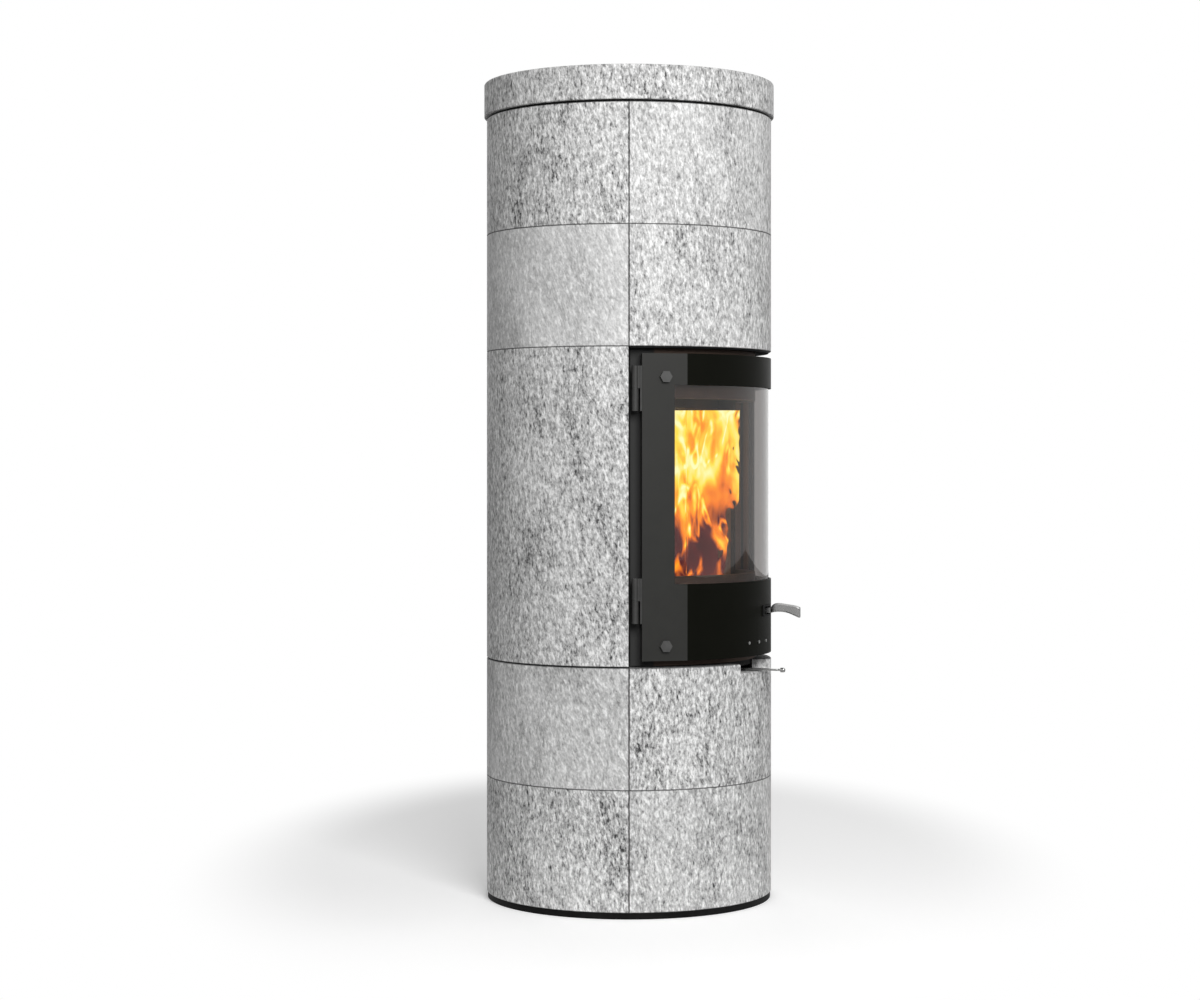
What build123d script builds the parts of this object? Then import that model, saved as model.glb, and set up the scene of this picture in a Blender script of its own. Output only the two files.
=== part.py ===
from build123d import *
from math import acos, cos, degrees, radians, sin
import os

# Soapstone stove: curved stone panels stacked round a steel firebox with a curved door.
# Millimetres and degrees. +Z is up, the door faces -Y and the origin is on the stove's
# axis at floor level. An angle is measured from the front, positive towards +X.

# Stone shell
body_radius = 275.0
stone_thickness = 35.0
stone_air_gap = 8.0
seam_gap = 1.0
stone_arris = 1.2
front_half_angle = 65.0
plain_row_height = 224.0
door_row_height = 588.0
cap_overhang = 5.0
cap_height = 64.0
cap_rounding = 3.0

# Base and pedestal
base_height = 12.0
base_setback = 2.0
base_sheet = 5.0
base_skirt = 4.0
post_size = 30.0
post_wall = 2.0
post_setback = 50.0
flange_size = 60.0
flange_thickness = 4.0
foot_setback = 60.0
foot_screw_radius = 5.0
foot_pad_radius = 13.0
foot_pad_height = 4.0
foot_length = 24.0
shelf_thickness = 2.0

# Air supply
air_inlet_radius = 50.0
duct_wall = 2.0
air_box_radius = 110.0
air_box_height = 50.0
air_sheet = 2.0
valve_plate = 4.0
valve_depth = 19.3
gate_margin = 8.0
gate_thickness = 3.0
valve_slots = 8
valve_slot_angle = 20.0
valve_slot_inner = 45.0
valve_rim = 10.0
valve_stagger = 12.0
pivot_radius = 6.0
pivot_head_radius = 10.0
pivot_head_height = 3.0
lever_hub_radius = 18.0
lever_width = 14.0
lever_thickness = 3.0
lever_proud = 35.0
lever_neck_length = 6.0
lever_neck_radius = 2.0
knob_length = 8.0
knob_radius = 4.5
notch_half_angle = 15.5
notch_clearance = 2.0
notch_rounding = 4.0
shroud_half_angle = 24.0
shroud_height = 26.0
shroud_slot_half_angle = 14.5
shroud_slot_height = 11.0

# Firebox
shell_thickness = 3.0
frame_depth = 12.0
frame_half_angle = 64.5
window_frame_half_angle = 49.5
threshold_height = 25.0
window_frame_drop = 95.0
ash_frame_half_angle = 40.0
ash_frame_rise = 30.0
hook_headroom = 2.8
floor_gap = 8.0
floor_thickness = 6.0
slab_thickness = 25.0
lining_thickness = 30.0
lining_setback = 2.0
lining_drop = 108.0
lining_front_angle = 52.0
lining_back_half_angle = 60.0
lining_air_hole_radius = 4.0
lining_air_hole_height = 180.0
lining_air_holes = 6
lining_air_hole_pitch = 12.0
grate_length = 170.0
grate_width = 130.0
grate_thickness = 14.0
grate_landing = 10.0
grate_bars = 9
grate_slot = 8.0
grate_setback = 20.0
baffle_thickness = 25.0
baffle_front_gap = 122.0
upper_baffle_drop = 10.0
upper_baffle_thickness = 4.0
upper_baffle_back_gap = 118.0
lug_length = 20.0
lug_width = 24.0
lug_height = 6.0
lintel_thickness = 3.0
lintel_setback = 5.0
clip_width = 24.0
clip_height = 30.0
side_clip_angles = (115.0, 155.0, 205.0, 245.0)
front_clip_angles = (-40.0, 40.0)

# Ash pan
pan_side_gap = 17.2
pan_length = 250.0
pan_height = 42.0
pan_wall = 2.0
pan_rounding = 12.0
pan_setback = 7.0
pan_grip_width = 90.0
pan_grip_depth = 13.0
pan_grip_drop = 4.0
rail_width = 8.0
rail_inset = 16.0
rail_length = 180.0

# Top and flue
top_gap = 4.0
top_setback = 4.0
flue_radius = 75.5
flue_wall = 4.0
flue_collar_height = 58.0
flue_flange_width = 19.5
flue_flange_thickness = 6.0
flue_bolt_offset = 11.5
flue_bolt_radius = 3.0
flue_bolt_head = 5.0
cap_hole_clearance = 2.0

# Door
door_half_angle = 60.0
fold_half_angle = 42.0
door_bottom_gap = 10.5
door_top_gap = 13.0
door_sheet = 3.0
window_half_angle = 47.0
window_margin_low = 13.0
window_margin_high = 24.0
glass_half_angle = 49.2
glass_overlap = 12.0
glass_tape = 2.0
glass_thickness = 4.0
panel_sheet = 3.0
gasket_width = 10.0
gasket_thickness = 9.4
gasket_half_angle = 58.0
gasket_inset = 6.0
clip_angles = (-30.0, 0.0, 30.0)
glass_clip_width = 16.0
glass_clip_height = 12.0
door_bolt_angle = 50.7
door_bolt_rise = 27.0
door_bolt_drop = 43.0
door_bolt_flats = 20.0
door_bolt_head = 7.0
door_bolt_radius = 4.0
door_bolt_length = 5.0
stud_angles = (-10.0, -2.0, 6.0)
stud_rise = 25.5
stud_radius = 2.6
stud_head_radius = 3.2
stud_proud = 1.4
stud_length = 4.0

# Hinges
hinge_shift_angle = 0.1
hinge_setback = 7.0
hinge_rise = 68.5
hinge_drop = 106.0
hinge_height = 83.0
barrel_radius = 6.5
hinge_pin_radius = 4.0
hinge_gap = 0.4
leaf_thickness = 4.0

# Handle and latch
handle_angle = 8.0
handle_rise = 82.7
handle_setback = 13.0
handle_pin_radius = 3.0
handle_hub_radius = 8.0
handle_hub_height = 14.0
handle_bar_height = 9.5
handle_bar_width = 9.0
blade_gap = 8.0
blade_root = 2.0
blade_stations = (0.0, 8.0, 23.0, 40.0, 56.0)
blade_rises = (0.0, 4.8, 5.4, 2.2, -3.4)
blade_widths = (9.0, 12.0, 12.0, 13.0, 14.0)
blade_heights = (9.5, 16.0, 16.0, 17.5, 19.5)
blade_rounding = 2.4
bezel_half_angle = 6.3
bezel_height = 21.0
bezel_proud = 2.0
handle_slot_half_angle = 4.0
handle_slot_height = 15.0
bearing_thickness = 4.0
bearing_width = 36.0
cheek_proud = 1.5
hook_height = 8.0
hook_arm_width = 8.0
hook_tip_width = 6.0
hook_reach = 14.0
keeper_offset = 10.0
keeper_width = 8.0
keeper_thickness = 6.0
keeper_drop = 10.2
keeper_root = 38.0

# Clearances
seat_gap = 0.3
running_gap = 0.05

# Rows of stone, from the floor up
stone_inner = body_radius - stone_thickness
row1_bottom = base_height
row2_bottom = row1_bottom + plain_row_height
shelf_bottom = row2_bottom + plain_row_height
row3_bottom = shelf_bottom + shelf_thickness
row4_bottom = row3_bottom + door_row_height
row5_bottom = row4_bottom + plain_row_height
top_bottom = row5_bottom + plain_row_height
cap_bottom = top_bottom + top_gap
cap_top = cap_bottom + cap_height

# Radii, from the stones inwards
shell_radius = stone_inner - stone_air_gap
shell_inner = shell_radius - shell_thickness
frame_inner = shell_radius + seat_gap
frame_outer = frame_inner + frame_depth
door_inner = frame_outer + seat_gap + gasket_thickness
lining_outer = shell_inner - lining_setback
lining_inner = lining_outer - lining_thickness
post_circle = stone_inner - post_setback
foot_circle = body_radius - foot_setback
pan_front = shell_inner - pan_setback
pan_width = 2 * (shell_inner * sin(radians(ash_frame_half_angle)) - pan_side_gap)
lever_reach = body_radius + lever_proud
hinge_radius = body_radius - hinge_setback
hinge_angle = -(door_half_angle + front_half_angle) / 2 - hinge_shift_angle
handle_pivot = body_radius - handle_setback
blade_start = body_radius + blade_gap
wing_angle = (door_half_angle + fold_half_angle) / 2
wing_distance = body_radius * cos(radians(door_half_angle - wing_angle))

# Air box and lever, hung from the shelf
gate_radius = air_box_radius - air_sheet - gate_margin
valve_slot_outer = gate_radius - valve_rim
air_box_bottom = shelf_bottom - air_box_height
valve_top = shelf_bottom - valve_depth
gate_bottom = valve_top + seat_gap
lever_bottom = gate_bottom + gate_thickness
notch_depth = shelf_bottom - lever_bottom + notch_clearance

# Door and handle, then the fire bed above the latch
frame_top = row4_bottom - lintel_thickness
door_bottom = row3_bottom + door_bottom_gap
door_top = row4_bottom - door_top_gap
handle_height = door_bottom + handle_rise
stud_height = door_bottom + stud_rise
door_bolt_heights = (door_bottom + door_bolt_rise, door_top - door_bolt_drop)
hinge_bottoms = (door_bottom + hinge_rise, door_top - hinge_drop)
ash_frame_bottom = row3_bottom + ash_frame_rise
ash_frame_top = handle_height + hook_height / 2 + hook_headroom
keeper_bottom = handle_height - keeper_drop
keeper_top = ash_frame_top + keeper_root
floor_bottom = ash_frame_top + floor_gap
slab_bottom = floor_bottom + floor_thickness
lining_top = row4_bottom - lining_drop
upper_baffle_height = row4_bottom - upper_baffle_drop
grate_centre = -grate_setback
window_frame_bottom = slab_bottom + slab_thickness + threshold_height
window_frame_top = row4_bottom - window_frame_drop
window_bottom = window_frame_bottom - window_margin_low
window_top = window_frame_top + window_margin_high

# Top outlet
flue_flange_radius = flue_radius + flue_flange_width
flue_bolt_circle = flue_radius + flue_bolt_offset

os.makedirs("parts", exist_ok=True)


def polar(radius, angle):
    """Plan point at an angle from the front."""
    return (radius * sin(radians(angle)), -radius * cos(radians(angle)))


def arc_angle(length, radius):
    """Angle that a length takes up on a circle."""
    return degrees(length / radius)


def save(part, name):
    part.label = name
    export_step(part, f"parts/{name}.step")


def sector(inner, outer, start, end, mode=Mode.ADD):
    """Draw a ring sector in the active sketch."""
    middle = (start + end) / 2
    with BuildLine() as outline:
        ThreePointArc(polar(outer, start), polar(outer, middle), polar(outer, end))
        Line(polar(outer, end), polar(inner, end))
        ThreePointArc(polar(inner, end), polar(inner, middle), polar(inner, start))
        Line(polar(inner, start), polar(outer, start))
    make_face(outline.edges(), mode=mode)


def curved_block(inner, outer, start, end, bottom, top, mode=Mode.ADD):
    """Raise a ring sector between two heights in the active part."""
    with BuildSketch(Plane.XY.offset(bottom)) as plan:
        sector(inner, outer, start, end)
    extrude(plan.sketch, amount=top - bottom, mode=mode)


def ring_block(inner, outer, bottom, top, mode=Mode.ADD):
    """Raise a full ring between two heights in the active part."""
    with BuildSketch(Plane.XY.offset(bottom)) as plan:
        Circle(outer)
        Circle(inner, mode=Mode.SUBTRACT)
    extrude(plan.sketch, amount=top - bottom, mode=mode)


def disc_block(radius, bottom, top, mode=Mode.ADD):
    """Raise a full disc between two heights in the active part."""
    with BuildSketch(Plane.XY.offset(bottom)) as plan:
        Circle(radius)
    extrude(plan.sketch, amount=top - bottom, mode=mode)


def wing_point(inset, angle):
    """Point on a flat wing of the door, at a depth below its outside."""
    side = wing_angle if angle > 0 else -wing_angle
    return polar((wing_distance - inset) / cos(radians(angle - side)), angle)


def fold_angle(inset):
    """Angle of the fold between wing and curve, at a depth below the outside."""
    return wing_angle - degrees(acos((wing_distance - inset) / (body_radius - inset)))


def door_outline(inset, half_angle, backwards=False):
    """Draw the door's line in plan: flat wing, curve, flat wing."""
    fold = fold_angle(inset)
    radius = body_radius - inset
    side = -1 if backwards else 1
    Line(wing_point(inset, -side * half_angle), polar(radius, -side * fold))
    ThreePointArc(polar(radius, -side * fold), polar(radius, 0), polar(radius, side * fold))
    Line(polar(radius, side * fold), wing_point(inset, side * half_angle))


def door_layer(inset, thickness, half_angle, bottom, top, mode=Mode.ADD):
    """Raise a bent sheet that runs parallel to the door's outside."""
    with BuildSketch(Plane.XY.offset(bottom)) as plan:
        with BuildLine():
            door_outline(inset, half_angle)
            Line(wing_point(inset, half_angle), wing_point(inset + thickness, half_angle))
            door_outline(inset + thickness, half_angle, backwards=True)
            Line(wing_point(inset + thickness, -half_angle), wing_point(inset, -half_angle))
        make_face()
    extrude(plan.sketch, amount=top - bottom, mode=mode)


def door_body(inset, back_radius, half_angle, bottom, top, mode=Mode.ADD):
    """Raise the whole depth of the door, from its outside to a round back."""
    with BuildSketch(Plane.XY.offset(bottom)) as plan:
        with BuildLine():
            door_outline(inset, half_angle)
            Line(wing_point(inset, half_angle), polar(back_radius, half_angle))
            ThreePointArc(
                polar(back_radius, half_angle),
                polar(back_radius, 0),
                polar(back_radius, -half_angle),
            )
            Line(polar(back_radius, -half_angle), wing_point(inset, -half_angle))
        make_face()
    extrude(plan.sketch, amount=top - bottom, mode=mode)


def radial_plane(angle, radius, height):
    """Plane that faces outwards at an angle, with its X axis level."""
    return Plane(
        origin=(*polar(radius, angle), height),
        x_dir=(cos(radians(angle)), sin(radians(angle)), 0),
        z_dir=(*polar(1, angle), 0),
    )


def upright_plane(angle):
    """Plane through the axis, with X outwards at an angle and Y up."""
    outward = polar(1, angle)
    return Plane(origin=(0, 0, 0), x_dir=(*outward, 0), z_dir=(outward[1], -outward[0], 0))


def level_plane(angle, height):
    """Level plane on the axis, with X outwards at an angle."""
    return Plane(origin=(0, 0, height), x_dir=(*polar(1, angle), 0), z_dir=(0, 0, 1))


# Base pan with the air inlet in its middle and a hole for each screw foot
with BuildPart() as base_plate:
    base_radius = body_radius - base_setback
    sheet_bottom = base_height - base_sheet
    ring_block(air_inlet_radius, base_radius, sheet_bottom, base_height)
    ring_block(base_radius - base_skirt, base_radius, 0, sheet_bottom)
    with BuildSketch(Plane.XY.offset(sheet_bottom)):
        with PolarLocations(foot_circle, 4):
            Circle(foot_screw_radius + running_gap)
    extrude(amount=base_sheet, mode=Mode.SUBTRACT)
save(base_plate.part, "base_plate")

with BuildPart() as levelling_feet:
    with BuildSketch():
        with PolarLocations(foot_circle, 4):
            Circle(foot_pad_radius)
    extrude(amount=foot_pad_height)
    with BuildSketch(Plane.XY.offset(foot_pad_height)):
        with PolarLocations(foot_circle, 4):
            Circle(foot_screw_radius)
    extrude(amount=foot_length - foot_pad_height)
save(levelling_feet.part, "levelling_feet")

with BuildPart() as pedestal_posts:
    for plate_bottom in (base_height, shelf_bottom - flange_thickness):
        with BuildSketch(Plane.XY.offset(plate_bottom)):
            with PolarLocations(post_circle, 4, start_angle=45):
                Rectangle(flange_size, flange_size)
        extrude(amount=flange_thickness)
    tube_bottom = base_height + flange_thickness
    with BuildSketch(Plane.XY.offset(tube_bottom)):
        with PolarLocations(post_circle, 4, start_angle=45):
            Rectangle(post_size, post_size)
            Rectangle(post_size - 2 * post_wall, post_size - 2 * post_wall, mode=Mode.SUBTRACT)
    extrude(amount=shelf_bottom - flange_thickness - tube_bottom)
save(pedestal_posts.part, "pedestal_posts")

# The shelf carries the tall side stones and is cut back behind the door
with BuildPart() as shelf_plate:
    disc_block(shell_radius + seat_gap + frame_depth / 2, shelf_bottom, row3_bottom)
    curved_block(
        shell_radius,
        body_radius - base_setback,
        front_half_angle,
        360 - front_half_angle,
        shelf_bottom,
        row3_bottom,
    )
    disc_block(gate_radius, shelf_bottom, row3_bottom, mode=Mode.SUBTRACT)
save(shelf_plate.part, "shelf_plate")

with BuildPart() as air_duct:
    ring_block(
        air_inlet_radius,
        air_inlet_radius + duct_wall,
        base_height,
        air_box_bottom + air_sheet,
    )
save(air_duct.part, "air_duct")

# Air can with the fixed valve plate inside and a slot for the lever in its wall
with BuildPart() as air_box:
    ring_block(air_box_radius - air_sheet, air_box_radius, air_box_bottom, shelf_bottom)
    ring_block(
        air_inlet_radius + duct_wall,
        air_box_radius,
        air_box_bottom,
        air_box_bottom + air_sheet,
    )
    ring_block(pivot_radius, air_box_radius - air_sheet, valve_top - valve_plate, valve_top)
    for slot in range(valve_slots):
        slot_start = slot * 360 / valve_slots - valve_slot_angle / 2
        curved_block(
            valve_slot_inner,
            valve_slot_outer,
            slot_start,
            slot_start + valve_slot_angle,
            valve_top - valve_plate,
            valve_top,
            mode=Mode.SUBTRACT,
        )
    curved_block(
        air_box_radius - 2 * air_sheet,
        air_box_radius + air_sheet,
        -shroud_half_angle,
        shroud_half_angle,
        gate_bottom,
        shelf_bottom - air_sheet,
        mode=Mode.SUBTRACT,
    )
save(air_box.part, "air_box")

pivot_top = lever_bottom + lever_thickness + seat_gap
with BuildPart() as air_pivot_pin:
    disc_block(pivot_radius, valve_top - valve_plate, pivot_top)
    disc_block(pivot_head_radius, pivot_top, pivot_top + pivot_head_height)
    chamfer(air_pivot_pin.faces().sort_by(Axis.Z)[-1].edges(), pivot_head_height / 3)
save(air_pivot_pin.part, "air_pivot_pin")

shroud_outer = shell_radius + frame_depth / 2
with BuildPart() as lever_shroud:
    curved_block(
        shroud_outer - door_sheet,
        shroud_outer,
        -shroud_half_angle,
        shroud_half_angle,
        shelf_bottom - shroud_height,
        shelf_bottom,
    )
    slot_bottom = lever_bottom - (shroud_slot_height - lever_thickness) / 2
    curved_block(
        shroud_outer - 2 * door_sheet,
        shroud_outer + door_sheet,
        -shroud_slot_half_angle,
        shroud_slot_half_angle,
        slot_bottom,
        slot_bottom + shroud_slot_height,
        mode=Mode.SUBTRACT,
    )
save(lever_shroud.part, "lever_shroud")

# Firebox
with BuildPart() as firebox_shell:
    ring_block(shell_inner, shell_radius, row3_bottom, top_bottom)
    curved_block(
        shell_inner - shell_thickness,
        shell_radius + shell_thickness,
        -window_frame_half_angle,
        window_frame_half_angle,
        window_frame_bottom,
        window_frame_top,
        mode=Mode.SUBTRACT,
    )
    curved_block(
        shell_inner - shell_thickness,
        shell_radius + shell_thickness,
        -ash_frame_half_angle,
        ash_frame_half_angle,
        ash_frame_bottom,
        ash_frame_top,
        mode=Mode.SUBTRACT,
    )
    for lug_angle in (-90, 0, 90):
        lug_spread = arc_angle(lug_width, shell_inner) / 2
        curved_block(
            shell_inner - lug_length,
            shell_inner + shell_thickness / 2,
            lug_angle - lug_spread,
            lug_angle + lug_spread,
            upper_baffle_height - lug_height,
            upper_baffle_height,
        )
save(firebox_shell.part, "firebox_shell")

with BuildPart() as front_frame:
    curved_block(
        frame_inner,
        frame_outer,
        -frame_half_angle,
        frame_half_angle,
        row3_bottom,
        frame_top,
    )
    curved_block(
        frame_inner - frame_depth,
        frame_outer + frame_depth,
        -window_frame_half_angle,
        window_frame_half_angle,
        window_frame_bottom,
        window_frame_top,
        mode=Mode.SUBTRACT,
    )
    curved_block(
        frame_inner - frame_depth,
        frame_outer + frame_depth,
        -ash_frame_half_angle,
        ash_frame_half_angle,
        ash_frame_bottom,
        ash_frame_top,
        mode=Mode.SUBTRACT,
    )
save(front_frame.part, "front_frame")

grate_opening = (grate_length - 2 * grate_landing, grate_width - 2 * grate_landing)
with BuildPart() as firebox_floor:
    disc_block(shell_inner - seat_gap, floor_bottom, slab_bottom)
    with BuildSketch(Plane.XY.offset(floor_bottom)):
        with Locations((0, grate_centre)):
            Rectangle(*grate_opening)
    extrude(amount=floor_thickness, mode=Mode.SUBTRACT)
save(firebox_floor.part, "firebox_floor")

with BuildPart() as hearth_slab:
    disc_block(lining_inner - seam_gap, slab_bottom, slab_bottom + slab_thickness)
    curved_block(
        lining_inner / 2,
        shell_inner - 2 * lining_setback,
        -window_frame_half_angle,
        window_frame_half_angle,
        slab_bottom,
        slab_bottom + slab_thickness,
    )
    with BuildSketch(Plane.XY.offset(slab_bottom)):
        with Locations((0, grate_centre)):
            Rectangle(grate_length + seam_gap, grate_width + seam_gap)
    extrude(amount=slab_thickness, mode=Mode.SUBTRACT)
save(hearth_slab.part, "hearth_slab")

# Cast grate with long slots between its bars
with BuildPart() as grate:
    with BuildSketch(Plane.XY.offset(slab_bottom)):
        with Locations((0, grate_centre)):
            Rectangle(grate_length, grate_width)
            with GridLocations(grate_opening[0] / grate_bars, 0, grate_bars, 1):
                SlotOverall(grate_opening[1], grate_slot, rotation=90, mode=Mode.SUBTRACT)
    extrude(amount=grate_thickness)
save(grate.part, "grate")

with BuildPart() as ash_pan:
    pan_bottom = ash_frame_bottom + 2 * seam_gap
    pan_centre = pan_length / 2 - pan_front
    with BuildSketch(Plane.XY.offset(pan_bottom)):
        with Locations((0, pan_centre)):
            RectangleRounded(pan_width, pan_length, pan_rounding)
        Circle(pan_front, mode=Mode.INTERSECT)
    extrude(amount=pan_height)
    with BuildSketch(Plane.XY.offset(pan_bottom + pan_wall)):
        with Locations((0, pan_centre)):
            RectangleRounded(
                pan_width - 2 * pan_wall,
                pan_length - 2 * pan_wall,
                pan_rounding - pan_wall,
            )
        Circle(pan_front - pan_wall, mode=Mode.INTERSECT)
    extrude(amount=pan_height, mode=Mode.SUBTRACT)
    grip_spread = arc_angle(pan_grip_width, pan_front) / 2
    grip_top = pan_bottom + pan_height - pan_grip_drop
    curved_block(
        pan_front - pan_wall / 2,
        pan_front + pan_grip_depth,
        -grip_spread,
        grip_spread,
        grip_top - pan_wall,
        grip_top,
    )
    curved_block(
        pan_front + pan_grip_depth - pan_wall,
        pan_front + pan_grip_depth,
        -grip_spread,
        grip_spread,
        grip_top - pan_grip_depth,
        grip_top,
    )
save(ash_pan.part, "ash_pan")

with BuildPart() as ash_pan_rails:
    with BuildSketch(Plane.XY.offset(row3_bottom)):
        with Locations((0, pan_centre)):
            with GridLocations(pan_width - 2 * rail_inset, 0, 2, 1):
                Rectangle(rail_width, rail_length)
    extrude(amount=pan_bottom - row3_bottom)
save(ash_pan_rails.part, "ash_pan_rails")

# Fire bricks: two sides and a back with a row of air holes
brick_gap = arc_angle(seam_gap, lining_inner) / 2
back_start = 180 - lining_back_half_angle
side_bricks = {
    "lining_right": (lining_front_angle, back_start - brick_gap),
    "lining_left": (-back_start + brick_gap, -lining_front_angle),
}
for brick_name, (brick_start, brick_end) in side_bricks.items():
    with BuildPart() as side_brick:
        curved_block(lining_inner, lining_outer, brick_start, brick_end, slab_bottom, lining_top)
    save(side_brick.part, brick_name)

with BuildPart() as lining_back:
    curved_block(
        lining_inner,
        lining_outer,
        back_start + brick_gap,
        180 + lining_back_half_angle - brick_gap,
        slab_bottom,
        lining_top,
    )
    for hole in range(lining_air_holes):
        hole_angle = 180 + (hole - (lining_air_holes - 1) / 2) * lining_air_hole_pitch
        hole_plane = radial_plane(hole_angle, lining_inner / 2, slab_bottom + lining_air_hole_height)
        with BuildSketch(hole_plane):
            Circle(lining_air_hole_radius)
        extrude(amount=lining_outer, mode=Mode.SUBTRACT)
save(lining_back.part, "lining_back")

# Smoke baffles: the lower one leaves a gap at the front, the upper one at the back
with BuildPart() as baffle_lower:
    baffle_radius = lining_outer - seam_gap
    disc_block(baffle_radius, lining_top, lining_top + baffle_thickness)
    with BuildSketch(Plane.XY.offset(lining_top)):
        with Locations((0, -baffle_radius)):
            Rectangle(2 * baffle_radius, 2 * baffle_front_gap)
    extrude(amount=baffle_thickness, mode=Mode.SUBTRACT)
save(baffle_lower.part, "baffle_lower")

with BuildPart() as baffle_upper:
    upper_radius = shell_inner - seat_gap
    disc_block(upper_radius, upper_baffle_height, upper_baffle_height + upper_baffle_thickness)
    with BuildSketch(Plane.XY.offset(upper_baffle_height)):
        with Locations((0, upper_radius)):
            Rectangle(2 * upper_radius, 2 * upper_baffle_back_gap)
    extrude(amount=upper_baffle_thickness, mode=Mode.SUBTRACT)
save(baffle_upper.part, "baffle_upper")

with BuildPart() as lintel_plate:
    curved_block(
        frame_inner,
        body_radius - lintel_setback,
        -frame_half_angle,
        frame_half_angle,
        frame_top,
        row4_bottom,
    )
save(lintel_plate.part, "lintel_plate")

# Spacers between the shell and the stones, just under each row's top
with BuildPart() as stone_clips:
    clip_depth = stone_inner - shell_radius - 2 * seat_gap
    all_round_angles = front_clip_angles + side_clip_angles
    clip_rows = (
        (row4_bottom, side_clip_angles),
        (row5_bottom, all_round_angles),
        (top_bottom, all_round_angles),
    )
    for clip_top, clip_row_angles in clip_rows:
        for clip_row_angle in clip_row_angles:
            spread = arc_angle(clip_width, stone_inner) / 2
            curved_block(
                shell_radius + seat_gap,
                shell_radius + seat_gap + clip_depth,
                clip_row_angle - spread,
                clip_row_angle + spread,
                clip_top - 2 * clip_height,
                clip_top - clip_height,
            )
save(stone_clips.part, "stone_clips")

# Stone panels: each row is a front panel and two side panels, seams at the door's edges
half_seam = arc_angle(seam_gap, body_radius) / 2
panel_angles = {
    "front": (-front_half_angle, front_half_angle),
    "right": (front_half_angle, 180),
    "left": (-180, -front_half_angle),
}


def stone_panel(panel_start, panel_end, bottom, top, notched):
    """One curved stone with a fine arris round its face, and the lever's notch if asked."""
    with BuildPart() as stone:
        curved_block(
            stone_inner,
            body_radius,
            panel_start + half_seam,
            panel_end - half_seam,
            bottom,
            top,
        )
        if notched:
            curved_block(
                stone_inner - stone_thickness,
                body_radius + stone_thickness,
                -notch_half_angle,
                notch_half_angle,
                top - notch_depth,
                top + notch_depth,
                mode=Mode.SUBTRACT,
            )
            notch_corners = stone.edges().filter_by(GeomType.LINE).filter_by(
                lambda edge: abs(edge.center().Z - top) < seam_gap
                and abs(edge.center().X) < stone_inner / 2
            )
            fillet(notch_corners, notch_rounding)
        face = stone.faces().filter_by(GeomType.CYLINDER).sort_by(lambda f: f.area)[-1]
        chamfer(face.edges(), stone_arris)
        if notched:
            # The shoulders beside the notch are solids of their own, so collision leaves it open
            split(bisect_by=Plane.XY.offset(top - notch_depth), keep=Keep.BOTH)
    return stone.part


stone_rows = {
    "row1": (row1_bottom, row2_bottom),
    "row2": (row2_bottom, shelf_bottom),
    "row3": (row3_bottom, row4_bottom),
    "row4": (row4_bottom, row5_bottom),
    "row5": (row5_bottom, top_bottom),
}
for row_name, (row_bottom, row_top) in stone_rows.items():
    for side_name, (panel_start, panel_end) in panel_angles.items():
        if row_name == "row3" and side_name == "front":
            continue
        has_notch = row_name == "row2" and side_name == "front"
        panel = stone_panel(panel_start, panel_end, row_bottom, row_top, has_notch)
        save(panel, f"stone_{row_name}_{side_name}")

# Closed top, flue collar and cap
with BuildPart() as top_plate:
    ring_block(flue_radius, body_radius - top_setback, top_bottom, cap_bottom)
save(top_plate.part, "top_plate")

flange_top = cap_bottom + flue_flange_thickness
with BuildPart() as flue_collar:
    ring_block(flue_radius, flue_radius + flue_wall, cap_bottom, cap_bottom + flue_collar_height)
    ring_block(flue_radius, flue_flange_radius, cap_bottom, flange_top)
    with BuildSketch(Plane.XY.offset(cap_bottom)):
        with PolarLocations(flue_bolt_circle, 4):
            Circle(flue_bolt_radius)
    extrude(amount=flue_flange_thickness, mode=Mode.SUBTRACT)
save(flue_collar.part, "flue_collar")

with BuildPart() as flue_bolts:
    with BuildSketch(Plane.XY.offset(flange_top)):
        with PolarLocations(flue_bolt_circle, 4):
            RegularPolygon(flue_bolt_head, 6, major_radius=False)
    extrude(amount=flue_bolt_head)
    with BuildSketch(Plane.XY.offset(cap_bottom)):
        with PolarLocations(flue_bolt_circle, 4):
            Circle(flue_bolt_radius)
    extrude(amount=flue_flange_thickness)
save(flue_bolts.part, "flue_bolts")

with BuildPart() as cap_stone:
    cap_hole = flue_flange_radius + cap_hole_clearance
    ring_block(cap_hole, body_radius + cap_overhang, cap_bottom, cap_top)
    rim_edges = cap_stone.edges().filter_by(GeomType.CIRCLE).filter_by(
        lambda edge: edge.radius > cap_hole
    )
    fillet(rim_edges.sort_by(Axis.Z)[-1], cap_rounding)
    chamfer(cap_stone.edges().filter_by(
        lambda edge: edge.geom_type == GeomType.CIRCLE
        and edge.radius > body_radius
        and edge.center().Z < cap_bottom + seam_gap
    ), stone_arris)
save(cap_stone.part, "cap_stone")

# Door: a pan with flat wings, closed behind by a round panel
bolt_planes = []
for bolt_side in (-1, 1):
    wing_plane = radial_plane(bolt_side * wing_angle, wing_distance, 0)
    bolt_offset = wing_distance * sin(radians(door_bolt_angle - wing_angle)) * bolt_side
    for bolt_height in door_bolt_heights:
        bolt_planes.append((wing_plane, bolt_offset, bolt_height))

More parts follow.
